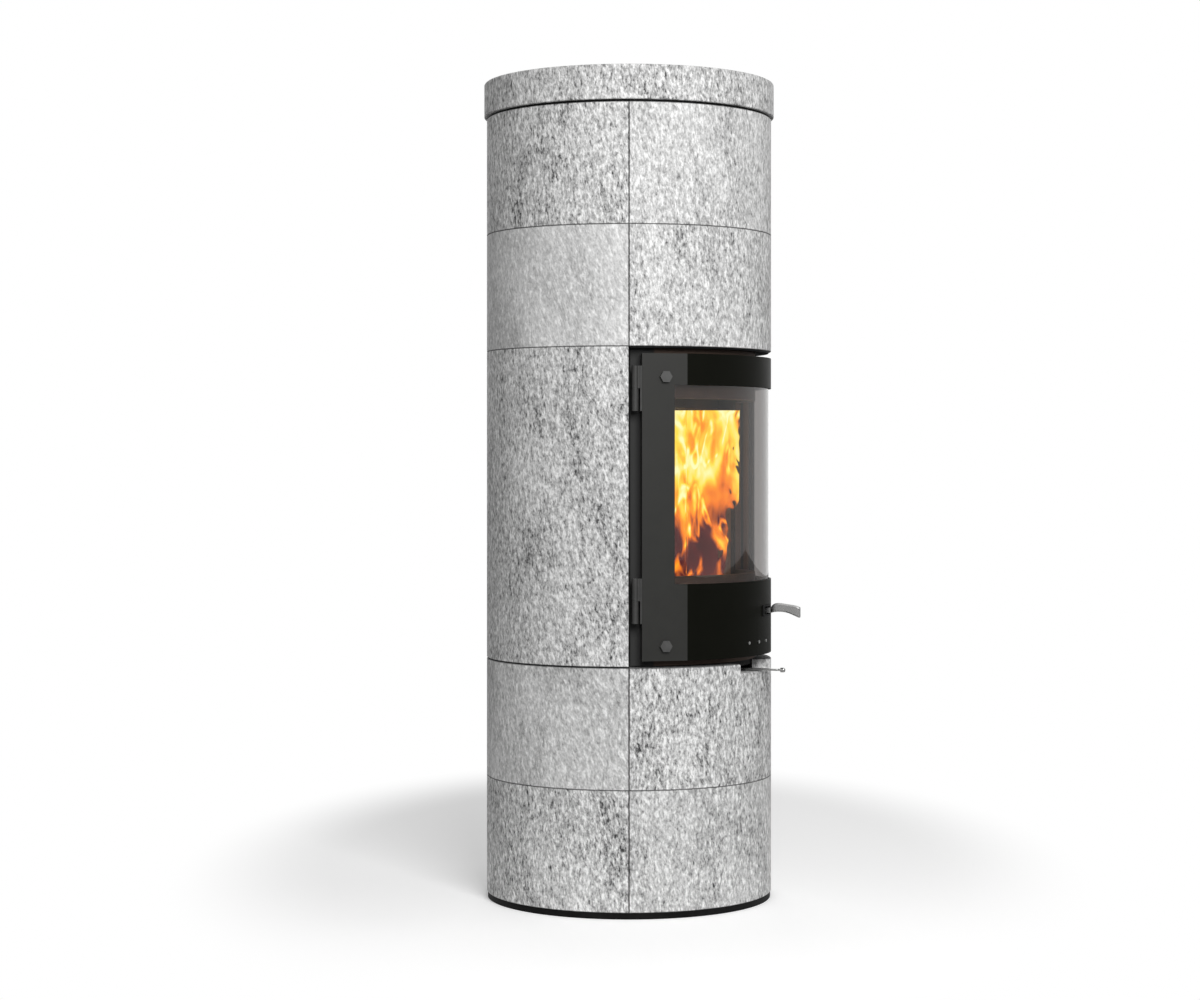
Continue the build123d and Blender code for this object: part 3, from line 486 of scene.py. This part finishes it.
# %% Matt paint for the body's steel
def black_steel(name, dark, pale, roughness, specular):
    """Matt heat-proof paint with faint heat marks and rubbed places."""
    recipe = Recipe(name)
    place = recipe.place()
    marks = recipe.noise(place, 55.0, 4.0, 0.65, 0.3)
    dust = recipe.noise(place, 9.0, 3.0, 0.6)
    shade = recipe.step(marks * 0.7 + dust * 0.3, 0.35, 0.7)
    recipe.surface({
        "Base Color": recipe.mix(shade, dark, pale),
        "Roughness": roughness + marks * 0.14,
        "Specular IOR Level": specular,
        "Normal": recipe.bump(paint_grain(recipe, 1.1), 0.15, 0.0003),
    })
    return recipe.result


# Each coat is its dark and pale colours, its roughness, its specular level and its pieces
coats = {
    "matt_black": ((0.016, 0.016, 0.016), (0.030, 0.030, 0.029), 0.55, 0.3, (
        "pedestal_posts", "air_box", "firebox_shell", "latch_keeper", "firebox_floor",
        "ash_pan_rails", "baffle_upper", "stone_clips", "glass_clips", "handle_bearing",
        "latch_hook",
    )),
    "base_black": ((0.005, 0.005, 0.005), (0.010, 0.010, 0.010), 0.5, 0.06, (
        "base_plate", "shelf_plate", "lever_shroud", "lintel_plate", "top_plate", "handle_bezel",
    )),
    "frame_grey": ((0.030, 0.030, 0.029), (0.048, 0.047, 0.046), 0.5, 0.3, (
        "hinge_brackets", "door_hinge_leaves",
    )),
    "bolt_black": ((0.040, 0.040, 0.039), (0.065, 0.065, 0.064), 0.40, 0.35, ("door_bolts",)),
}
for name, (dark, pale, roughness, specular, pieces) in coats.items():
    paint_nodes(black_steel(name, dark, pale, roughness, specular), pieces)
print("coats of matt paint:", list(coats))

# %% The face frame behind the door
primer_starts = 0.196
primer_ends = 0.200


def face_frame():
    """Grey primer at the sides, browned by heat round the window."""
    recipe = Recipe("face_frame")
    place = recipe.place()
    across = recipe.parts(place)[0]
    marks = recipe.noise(place, 40.0, 4.0, 0.65, 0.3)
    primer = recipe.mix(marks, (0.028, 0.028, 0.028), (0.042, 0.042, 0.041))
    heated = recipe.mix(marks, (0.070, 0.046, 0.036), (0.110, 0.078, 0.062))
    side = recipe.step(abs(across) + (marks - 0.5) * 0.004, primer_starts, primer_ends)
    recipe.surface({
        "Base Color": recipe.mix(side, heated, primer),
        "Roughness": 0.55 + marks * 0.2,
        "Specular IOR Level": 0.15,
        "Normal": recipe.bump(paint_grain(recipe, 1.1), 0.15, 0.0003),
    })
    return recipe.result


heated_pieces = ["front_frame", "door_inner_panel"]
paint_nodes(face_frame(), heated_pieces)
print("browned by heat:", heated_pieces)

# %% [markdown]
# ## Bare metal
# The handle and the air lever are satin stainless steel, brushed along their length. Real
# brush marks are far too fine to model, and all the eye sees is how they spread a highlight.
# So the brushing is a noise stretched into long hairs, which only changes roughness and a
# very small bump. Parts that nobody looks at, such as the feet and the ash pan, are zinc
# plated, with the faint crystal cloud of the plating. The grate and flue collar are cast
# iron, with a sandy skin and a little rust.

# %% Satin, zinc and cast finishes
def brushed(name, colour, stretch, roughness):
    """Metal brushed along the axis that the stretch makes long."""
    recipe = Recipe(name)
    hairs = recipe.moved(recipe.place(), (0.0, 0.0, 0.0), stretch)
    lines = recipe.noise(hairs, 0.8, 3.0, 0.7)
    smear = recipe.noise(recipe.place(), 14.0, 2.0, 0.5)
    pale = tuple(min(1.0, value * 1.12) for value in colour)
    recipe.surface({
        "Base Color": recipe.mix(smear, colour, pale),
        "Metallic": 1.0,
        "Roughness": roughness + (lines - 0.5) * 0.16 + smear * 0.05,
        "Normal": recipe.bump(lines, 0.10, 0.0001),
    })
    return recipe.result


def cast_iron():
    """Sand-cast iron with patches of light rust."""
    recipe = Recipe("cast_iron")
    place = recipe.place()
    sand = recipe.noise(place, 1.8, 3.0, 0.7)
    rust = recipe.step(recipe.noise(place, 30.0, 4.0, 0.65), 0.55, 0.8)
    recipe.surface({
        "Base Color": recipe.mix(rust, (0.030, 0.030, 0.030), (0.060, 0.040, 0.030)),
        "Metallic": 0.35,
        "Roughness": 0.62 + sand * 0.2,
        "Normal": recipe.bump(sand, 0.5, 0.0006),
    })
    return recipe.result


metals = (
    (brushed("satin_steel", (0.42, 0.42, 0.415), (1.0, 0.04, 1.0), 0.24), (
        "door_handle", "air_lever", "air_knob", "band_studs",
    )),
    (brushed("zinc", (0.50, 0.51, 0.52), (1.0, 1.0, 0.3), 0.38), (
        "levelling_feet", "air_duct", "air_pivot_pin", "hinge_pins", "ash_pan", "flue_bolts",
        "handle_pin", "air_gate",
    )),
    (cast_iron(), ("grate", "flue_collar")),
)
for metal, pieces in metals:
    paint_nodes(metal, pieces)
print("metal finishes:", [metal.name for metal, pieces in metals])

# %% [markdown]
# ## Fire bricks
# The fire chamber is lined with pressed insulating board, a tan material full of small
# flakes that glint. Some flakes are paler: partly their own tone and partly a painted glint,
# put into the colour. In use, soot darkens it from the top, and the heat burns it paler low
# down near the fire. Soot could be painted on by hand for each brick. A soft step on the
# height, made ragged by a cloudy noise, runs on from brick to brick without a break.

# %% Insulating board with soot
soot_starts = 0.64
soot_full = 0.96


def fire_brick():
    """Flaky board that darkens with soot towards the top of the fire chamber."""
    recipe = Recipe("fire_brick")
    place = recipe.place()
    up = recipe.parts(place)[2]
    flakes = recipe.noise(place, 3.4, 3.0, 0.7)
    # Pale spots on some flakes: their own paler tone, and a painted glint
    bright = recipe.step(recipe.noise(place, 2.2, 1.0, 0.5), 0.62, 0.72)
    clouds = recipe.noise(place, 70.0, 4.0, 0.6)
    soot = recipe.step(up + (clouds - 0.5) * 0.22, soot_starts, soot_full, 0.25, 0.92)
    board = recipe.mix(flakes, (0.20, 0.14, 0.095), (0.36, 0.27, 0.18))
    board = recipe.mix(bright * 0.5, board, (0.55, 0.45, 0.30))
    recipe.surface({
        "Base Color": recipe.mix(soot, board, (0.018, 0.015, 0.013)),
        "Roughness": 0.82 + flakes * 0.12,
        "Specular IOR Level": 0.2,
        "Normal": recipe.bump(flakes, 0.5, 0.0008),
    })
    return recipe.result


bricks = ["hearth_slab", "lining_left", "lining_right", "lining_back", "baffle_lower"]
paint_nodes(fire_brick(), bricks)
print("bricks:", bricks)

# %% [markdown]
# ## The window
# The pane is a clear glass ceramic. A thin sheet with a see-through shader would be quick,
# but it has no edge. This pane is a closed solid 4 mm thick, so it can be plain glass that
# bends light by itself. The round part of the pane shows almost no reflection
# and its flat ends mirror the studio, so two strengths of reflection meet near the fold. A
# trace of smoke haze keeps the pane from looking like a hole.

# %% Clear glass ceramic
round_shine = 0.03
wing_shine = 0.45


def window_glass():
    """Slightly smoky glass that reflects more on its flat ends."""
    recipe = Recipe("window_glass")
    place = recipe.place()
    across = recipe.parts(place)[0]
    haze = recipe.step(recipe.noise(place, 60.0, 3.0, 0.6), 0.45, 0.8, 0.0, 0.06)
    shades = []
    for shine in (round_shine, wing_shine):
        shades.append(recipe.node("ShaderNodeBsdfPrincipled", {}, {
            "Base Color": (0.90, 0.86, 0.84, 1.0),
            "Roughness": haze,
            "IOR": 1.45,
            "Specular IOR Level": shine,
            "Transmission Weight": 1.0,
        }))
    on_wing = recipe.step(abs(across), fold_across - 0.003, fold_across - 0.002)
    recipe.finish(recipe.node("ShaderNodeMixShader", {}, {0: on_wing, 1: shades[0], 2: shades[1]}))
    return recipe.result


paint_nodes(window_glass(), ["door_glass"])

# %% [markdown]
# ## The rope seal
# A knitted glass-fibre rope lies in a channel behind the door and meets the face frame all
# the way round. Its path is a rectangle with rounded corners, wrapped on a cylinder. The
# level runs are bent only after they are cut into short steps, or they would cut straight
# across the curve.

# %% The rope's path, round the back of the door
rope_radius = 0.2493
rope_low = 0.4835
rope_high = 1.0160
rope_middle = (rope_low + rope_high) / 2.0
rope_side = 56.8
rope_corner = 0.010
corner_steps = 4
rope_pitch = 0.012


def rope_path():
    """Closed loop of arc lengths and heights, with rounded corners."""
    half = rope_radius * radians(rope_side)
    corners = ((half, rope_low), (half, rope_high), (-half, rope_high), (-half, rope_low))
    points = []
    for number, (arc, height) in enumerate(corners):
        middle_arc = arc - rope_corner if arc > 0 else arc + rope_corner
        middle_height = height + rope_corner if height < rope_middle else height - rope_corner
        for step in range(corner_steps + 1):
            turn = radians(-90.0 + 90.0 * number + 90.0 * step / corner_steps)
            points.append((
                middle_arc + rope_corner * cos(turn),
                middle_height + rope_corner * sin(turn),
            ))
    return points


def fine_loop(points, pitch):
    """Add points along each side, so that level runs follow the cylinder."""
    fine = []
    for start, end in zip(points, points[1:] + points[:1]):
        first = Vector(start)
        run = Vector(end) - first
        count = max(1, round(run.length / pitch))
        fine += [first + run * (step / count) for step in range(count)]
    return fine


flat_loop = fine_loop(rope_path(), rope_pitch)
loop = [around(degrees(arc / rope_radius), rope_radius, height) for arc, height in flat_loop]
print("rope path points:", len(loop))

# %% [markdown]
# ### A rope that twists itself
# A plain tube would look like a hose, because a rope shows its strands at every edge. The
# strands repeat along the path, so Geometry Nodes make them. The path is cut into even
# steps, a few round strands are set about its centre, and the tilt grows with the distance,
# which twists the strands. The tree has named inputs for its sizes, so the same tree could
# make a thicker rope for a bigger door.

# %% The rope's node tree
strand_sides = 8


def rope_tree(name):
    """An empty tree with the rope's inputs and its output."""
    tree = bpy.data.node_groups.new(name, "GeometryNodeTree")
    inputs = {
        "Strands": ("NodeSocketInt", 4),
        "Strand Radius": ("NodeSocketFloat", 0.0022),
        "Strand Centre": ("NodeSocketFloat", 0.0023),
        "Turns per Metre": ("NodeSocketFloat", 28.0),
        "Step": ("NodeSocketFloat", 0.003),
        "Finish": ("NodeSocketMaterial", None),
    }
    tree.interface.new_socket("Path", in_out="INPUT", socket_type="NodeSocketGeometry")
    for label, (kind, value) in inputs.items():
        socket = tree.interface.new_socket(label, in_out="INPUT", socket_type=kind)
        if value is not None:
            socket.default_value = value
    tree.interface.new_socket("Rope", in_out="OUTPUT", socket_type="NodeSocketGeometry")
    return tree


def fill_rope_tree(tree):
    """Twist the path, set strands about it and sweep them along it."""

    def add(kind, settings, inputs):
        return add_node(tree, kind, settings, inputs).outputs

    asked = add("NodeGroupInput", {}, {})
    even = add("GeometryNodeResampleCurve", {"mode": "LENGTH"}, {
        "Curve": asked["Path"],
        "Length": asked["Step"],
    })
    travelled = add("GeometryNodeSplineParameter", {}, {})
    rate = add("ShaderNodeMath", {"operation": "MULTIPLY"}, {
        0: asked["Turns per Metre"],
        1: 2.0 * pi,
    })
    twist = add("ShaderNodeMath", {"operation": "MULTIPLY"}, {0: travelled["Length"], 1: rate[0]})
    tilted = add("GeometryNodeSetCurveTilt", {}, {"Curve": even[0], "Tilt": twist[0]})
    ring = add("GeometryNodeCurvePrimitiveCircle", {}, {
        "Resolution": asked["Strands"],
        "Radius": asked["Strand Centre"],
    })
    strand = add("GeometryNodeCurvePrimitiveCircle", {}, {
        "Resolution": strand_sides,
        "Radius": asked["Strand Radius"],
    })
    spots = add("GeometryNodeInstanceOnPoints", {}, {
        "Points": ring["Curve"],
        "Instance": strand["Curve"],
    })
    profile = add("GeometryNodeRealizeInstances", {}, {0: spots[0]})
    tubes = add("GeometryNodeCurveToMesh", {}, {"Curve": tilted[0], "Profile Curve": profile[0]})
    smooth = add("GeometryNodeSetShadeSmooth", {}, {0: tubes[0]})
    whole = add("GeometryNodeRealizeInstances", {}, {0: smooth[0]})
    dyed = add("GeometryNodeSetMaterial", {}, {0: whole[0], "Material": asked["Finish"]})
    add("NodeGroupOutput", {}, {0: dyed[0]})


rope_nodes = rope_tree("twisted_rope")
fill_rope_tree(rope_nodes)
print("rope tree nodes:", len(rope_nodes.nodes))

# %% [markdown]
# ### From a modifier to a plain mesh
# A modifier's inputs are set by each socket's own identifier before the piece is first
# looked at. The finished shape is then copied into a plain mesh, and the helper object
# that carried the modifier is removed.

# %% Run a node tree and keep its mesh
def grown(name, data, tree, values):
    """Run a Geometry Nodes tree on some data and return a plain mesh object."""
    carrier = placed(f"{name}_carrier", data)
    modifier = carrier.modifiers.new("nodes", "NODES")
    modifier.node_group = tree
    for item in tree.interface.items_tree:
        if item.in_out == "INPUT" and item.name in values:
            modifier[item.identifier] = values[item.name]
    ready = carrier.evaluated_get(bpy.context.evaluated_depsgraph_get())
    mesh = bpy.data.meshes.new_from_object(ready)
    mesh.name = name
    bpy.data.objects.remove(carrier)
    return placed(name, mesh)


def closed_line(name, points):
    """A closed curve of straight steps through some points."""
    data = bpy.data.curves.new(name, "CURVE")
    data.dimensions = "3D"
    spline = data.splines.new("POLY")
    spline.points.add(len(points) - 1)
    for point, place in zip(spline.points, points):
        point.co = (*place, 1.0)
    spline.use_cyclic_u = True
    return data


def rope_fibre():
    """Graphite-black glass yarn, greyer where it has rubbed."""
    recipe = Recipe("rope_fibre")
    place = recipe.place()
    yarn = recipe.noise(place, 1.1, 3.0, 0.7, 0.4)
    soot = recipe.noise(place, 45.0, 3.0, 0.6)
    dark = recipe.mix(soot, (0.020, 0.020, 0.020), (0.075, 0.073, 0.070))
    recipe.surface({
        "Base Color": recipe.mix(yarn, dark, (0.13, 0.13, 0.125)),
        "Roughness": 0.9,
        "Normal": recipe.bump(yarn, 0.6, 0.0004),
    })
    return recipe.result


rope_line = closed_line("rope_line", loop)
door_rope = grown("door_rope", rope_line, rope_nodes, {"Finish": rope_fibre()})
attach(door_rope, "door")
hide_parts("door_gasket")
print("rope triangles:", sum(len(face.vertices) - 2 for face in door_rope.data.polygons))

# %% [markdown]
# ## The tape under the glass
# The pane is bedded on a flat woven tape, just under 2 mm thick, that runs round the window
# opening. A flat strip swept along a curve would twist at the corners. The tape is a plain
# frame that follows the door's shape, so it is built as a mesh straight from the door's own
# plan. That plan is a circle with a flat wing at each side, and a tape just inside it is
# flat or round in the same places.

# %% Points on the door's bent sheet
wing_middle = 51.0
wing_distance = door_radius * cos(radians(60.0 - wing_middle))


def on_door(inset, angle, height):
    """Point this far inside the door's outer face: on the round part or on a flat wing."""
    side = wing_middle if angle > 0 else -wing_middle
    fold = wing_middle - degrees(acos((wing_distance - inset) / (door_radius - inset)))
    if abs(angle) > fold:
        return around(angle, (wing_distance - inset) / cos(radians(angle - side)), height)
    return around(angle, door_radius - inset, height)


print("flat wing, metres from the axis:", round(wing_distance, 4))

# %% [markdown]
# ### Weaving the tape
# The tape is a closed strip: its cross-section is a rectangle that travels round the window.
# Four rings of points, two on the door's side and two on the glass's side, are joined by
# rows of quads. Each quad also gets a place on the tape's own map, and a pair of crossed
# waves on that map is the weave.

# %% Build the tape
# Each edge is its side angle, its foot and its top
tape_outer = (49.2, 0.6010, 0.9910)
tape_inner = (47.21, 0.6120, 0.9800)
tape_front = 0.0031
tape_back = 0.0049
tape_columns = 48
columns_per_map = 8.0


def tape_ring(edge):
    """Angles and heights all the way round one edge of the tape."""
    side, low, high = edge
    level = [-side + 2.0 * side * column / tape_columns for column in range(tape_columns)]
    upright = [low + (high - low) * column / tape_columns for column in range(tape_columns)]
    ring = [(angle, low) for angle in level]
    ring += [(side, height) for height in upright]
    ring += [(-angle, high) for angle in level]
    ring += [(-side, low + high - height) for height in upright]
    return ring


def tape_mesh(name):
    """The tape as a closed strip with a map of its own."""
    mesh = bpy.data.meshes.new(name)
    sheet = bmesh.new()
    chart = sheet.loops.layers.uv.new("tape")
    outer = tape_ring(tape_outer)
    inner = tape_ring(tape_inner)
    corners = ((outer, tape_front), (inner, tape_front), (inner, tape_back), (outer, tape_back))
    rounds = [
        [sheet.verts.new(on_door(inset, *point)) for point in ring] for ring, inset in corners
    ]
    count = len(outer)
    for lane, near in enumerate(rounds):
        far = rounds[(lane + 1) % len(rounds)]
        for step in range(count):
            after = (step + 1) % count
            face = sheet.faces.new((near[step], near[after], far[after], far[step]))
            places = ((step, lane), (step + 1, lane), (step + 1, lane + 1), (step, lane + 1))
            for corner, (along, side) in zip(face.loops, places):
                corner[chart].uv = (along / columns_per_map, side)
    bmesh.ops.recalc_face_normals(sheet, faces=sheet.faces)
    sheet.to_mesh(mesh)
    sheet.free()
    return placed(name, mesh)


def woven_tape():
    """Plain weave of dark glass yarn."""
    recipe = Recipe("woven_tape")
    along, side = recipe.parts(recipe.chart())[:2]
    cloth = (along * 90.0).sine() * (side * 40.0).sine() * 0.5 + 0.5
    recipe.surface({
        "Base Color": recipe.mix(cloth, (0.025, 0.025, 0.025), (0.10, 0.10, 0.098)),
        "Roughness": 0.88,
        "Normal": recipe.bump(cloth, 0.5, 0.0003),
    })
    return recipe.result


tape = tape_mesh("glass_tape")
tape.data.materials.append(woven_tape())
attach(tape, "door")
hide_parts("glass_gasket")
print("tape faces:", len(tape.data.polygons))

# %% [markdown]
# ## The fire
# The stove was photographed alight. Flames aren't part of the stove, so they are a stage
# prop. A simulated fire would take minutes for each picture, and behind glass two wavy
# curtains that glow by themselves look much the same. Their pattern is noise pulled
# upwards. A slow noise gives the body of the fire, a finer one its wisps, and a third is
# folded into ridges for bright threads. A ramp turns heat into colour, from deep red
# through orange and yellow to a pale core.

# %% Glowing stuff
flame_ramp = (
    (0.0, (0.020, 0.004, 0.004)),
    (0.18, (0.090, 0.012, 0.012)),
    (0.38, (0.80, 0.17, 0.010)),
    (0.56, (1.0, 0.33, 0.012)),
    (0.74, (1.0, 0.72, 0.06)),
    (1.0, (1.0, 0.92, 0.46)),
)
flame_edge = 0.184


def flame_stuff():
    """Licks and threads of fire, cut off along a ragged edge at one side."""
    recipe = Recipe("flames")
    place = recipe.place()
    across, along, up = recipe.parts(place)
    rising = recipe.moved(place, (0.31, 0.12, 0.05), (1.0, 1.0, 0.36))
    body = recipe.noise(rising, 58.0, 2.0, 0.45, 1.2)
    wisps = recipe.noise(rising, 24.0, 1.0, 0.4, 1.6)
    threads = recipe.noise(rising, 60.0, 1.0, 0.4, 1.5)
    high = recipe.step(up + (body - 0.5) * 0.25, 0.66, 0.78)
    heat = 0.70 + (body - 0.5) * 1.3 + (wisps - 0.5) * 0.5
    line = (1.0 - abs(threads * 2.0 - 1.0) * 9.0).most(0.0) * recipe.step(wisps, 0.35, 0.65)
    glow = heat * (high * 0.60 + 0.40) + line * 0.42 - (1.0 - high) * 0.10
    colour = recipe.node("ShaderNodeValToRGB", {"stops": flame_ramp}, {0: glow})
    light = recipe.node("ShaderNodeEmission", {}, {"Color": colour, "Strength": 1.3})
    clear = recipe.node("ShaderNodeBsdfTransparent", {}, {})
    aside = across * cos(radians(view_angle)) + along * sin(radians(view_angle))
    rim = flame_edge + high * 0.034 + (wisps - 0.5) * 0.07 - aside
    seen = recipe.step(rim, 0.0, 0.006)
    recipe.finish(recipe.node("ShaderNodeMixShader", {}, {0: seen, 1: clear, 2: light}))
    return recipe.result


fire = flame_stuff()
print("fire glows in", len(flame_ramp), "steps of colour")

# %% [markdown]
# ### Curtains over the grate
# One wide curtain faces the camera and fills the window, and a narrow one stands across it,
# so that the fire has some depth from other sides. Each is a sheet of quads whose points are
# pushed in and out by a wave, because a flat sheet would look like a poster.

# %% Hang the curtains
curtain_columns = 24
curtain_rows = 30
curtain_low = 0.603
curtain_high = 0.938
curtain_wave = 0.006


def flame_curtain(name, middle, angle, width):
    """A wavy upright sheet that faces a given way."""
    mesh = bpy.data.meshes.new(name)
    turn = radians(angle)
    level = Vector((cos(turn), sin(turn), 0.0))
    outward = Vector((sin(turn), -cos(turn), 0.0))
    points = []
    for row in range(curtain_rows + 1):
        height = curtain_low + (curtain_high - curtain_low) * row / curtain_rows
        for column in range(curtain_columns + 1):
            share = column / curtain_columns - 0.5
            push = curtain_wave * sin(share * 9.0 + height * 14.0 + angle)
            points.append(middle + level * (share * width) + outward * push + Vector((0, 0, height)))
    faces = []
    for row in range(curtain_rows):
        for column in range(curtain_columns):
            first = row * (curtain_columns + 1) + column
            above = first + curtain_columns + 1
            faces.append((first, first + 1, above + 1, above))
    mesh.from_pydata(points, [], faces)
    return placed(name, mesh)


curtains = (
    ("flame_wall", Vector((0.02, -0.03, 0.0)), -60.0, 0.36),
    ("flame_fin", Vector((0.095, 0.015, 0.0)), 27.0, 0.17),
)
for name, middle, angle, width in curtains:
    curtain = flame_curtain(name, middle, angle, width)
    curtain.data.materials.append(fire)
print("flame curtains:", len(curtains))

# %% [markdown]
# ## The floor
# The stove stands in a white studio. A real studio curves its paper up behind the object,
# which only works from one side. Here the floor is a plain sheet that takes the stove's soft
# shadow near its foot and turns to pure white further out. The place where it turns is an
# oval, wider than it is deep, whose middle lies half a metre behind the stove. To the camera
# the white is full, and to other rays it is weaker, so that the floor doesn't light the
# stove from below.

# %% Floor that fades to white
floor_reach = 14.0
oval_middle = 0.5
oval_wide = 1.25
oval_deep = 0.71
fade_starts = 0.75
fade_ends = 1.2
floor_lift = 0.24


def floor_stuff():
    """Pale paper with a shadow near the stove, and pure white beyond an oval."""
    recipe = Recipe("studio_floor")
    turn = radians(view_angle)
    across, along = recipe.parts(recipe.place())[:2]
    beyond = along * cos(turn) - across * sin(turn)
    aside = across * cos(turn) + along * sin(turn)
    wide = aside * oval_wide
    deep = (beyond - oval_middle) * oval_deep
    fade = recipe.step((wide * wide + deep * deep) ** 0.5, fade_starts, fade_ends)
    cloth = recipe.node("ShaderNodeBsdfDiffuse", {}, {"Color": (0.93, 0.93, 0.93, 1.0)})
    paper = recipe.mix(recipe.ray("Is Camera Ray"), (0.25, 0.25, 0.25), (1.0, 1.0, 1.0))
    lift = recipe.node("ShaderNodeEmission", {}, {"Color": paper, "Strength": floor_lift})
    board = recipe.node("ShaderNodeAddShader", {}, {0: cloth, 1: lift})
    white = recipe.node("ShaderNodeEmission", {}, {"Color": paper, "Strength": 1.0})
    recipe.finish(recipe.node("ShaderNodeMixShader", {}, {0: fade, 1: board, 2: white}))
    return recipe.result


floor_mesh = bpy.data.meshes.new("floor")
floor_corners = [
    (-floor_reach, -floor_reach, 0.0),
    (floor_reach, -floor_reach, 0.0),
    (floor_reach, floor_reach, 0.0),
    (-floor_reach, floor_reach, 0.0),
]
floor_mesh.from_pydata(floor_corners, [], [(0, 1, 2, 3)])
floor = placed("floor", floor_mesh)
floor.data.materials.append(floor_stuff())
print("floor half width:", floor_reach)

# %% [markdown]
# ## The white world
# The world is pure white to the camera and in mirrors, but gentle as a source of light and
# through glass, so that a colour looks as it is written and the window stays clear. A ray
# that has passed through glass counts as glossy too, so transmission is taken away from
# glossy before the two kinds of ray are joined.

# %% World that is white only where it is seen
world_seen = 1.0
world_light = 0.26
studio = Recipe("studio", "worlds")
mirrored = studio.ray("Is Glossy Ray") - studio.ray("Is Transmission Ray")
in_sight = studio.ray("Is Camera Ray").most(mirrored)
background = studio.node("ShaderNodeBackground", {}, {
    "Color": (1.0, 1.0, 1.0, 1.0),
    "Strength": in_sight * (world_seen - world_light) + world_light,
})
studio.node("ShaderNodeOutputWorld", {}, {"Surface": background})
bpy.context.scene.world = studio.result
print("world light:", world_light)

# %% [markdown]
# ## Soft lamps
# Small lamps would leave hard shadows and bright spots on the paint, so the lamps are large
# rectangles. The main one stands a little to the right of the camera, where the brightest
# stone says it was. Two weaker ones fill the far side and the back, and they are hidden
# from mirrors and glass, where they would show as bright patches.

# %% Place the lamps
lamp_target = Vector((0.0, 0.0, 0.85))


def soft_lamp(name, angle, distance, height, size, power):
    """A large rectangular lamp that looks at the middle of the stove."""
    data = bpy.data.lights.new(name, "AREA")
    data.shape = "RECTANGLE"
    data.size, data.size_y = size
    data.energy = power
    lamp = placed(name, data)
    lamp.location = around(angle, distance, height)
    look_along(lamp, lamp_target - lamp.location)
    return lamp


# Angle from the camera, distance, height, width and height of the lamp, watts, shows in mirrors
lamp_plan = {
    "key_lamp": (13.0, 3.2, 2.2, (1.4, 1.8), 98.0, True),
    "side_lamp": (95.0, 3.4, 1.6, (1.6, 2.0), 12.0, False),
    "back_lamp": (190.0, 3.4, 2.2, (1.6, 1.6), 20.0, False),
}
for name, (turn, distance, height, size, power, shows) in lamp_plan.items():
    lamp = soft_lamp(name, view_angle + turn, distance, height, size, power)
    lamp.visible_glossy = shows
    lamp.visible_transmission = shows
bpy.context.scene.view_settings.view_transform = "Standard"
print("lamps:", list(lamp_plan))

# %% [markdown]
# ## The end
# The stove, its stage, the lamps and the camera are all in the scene now.
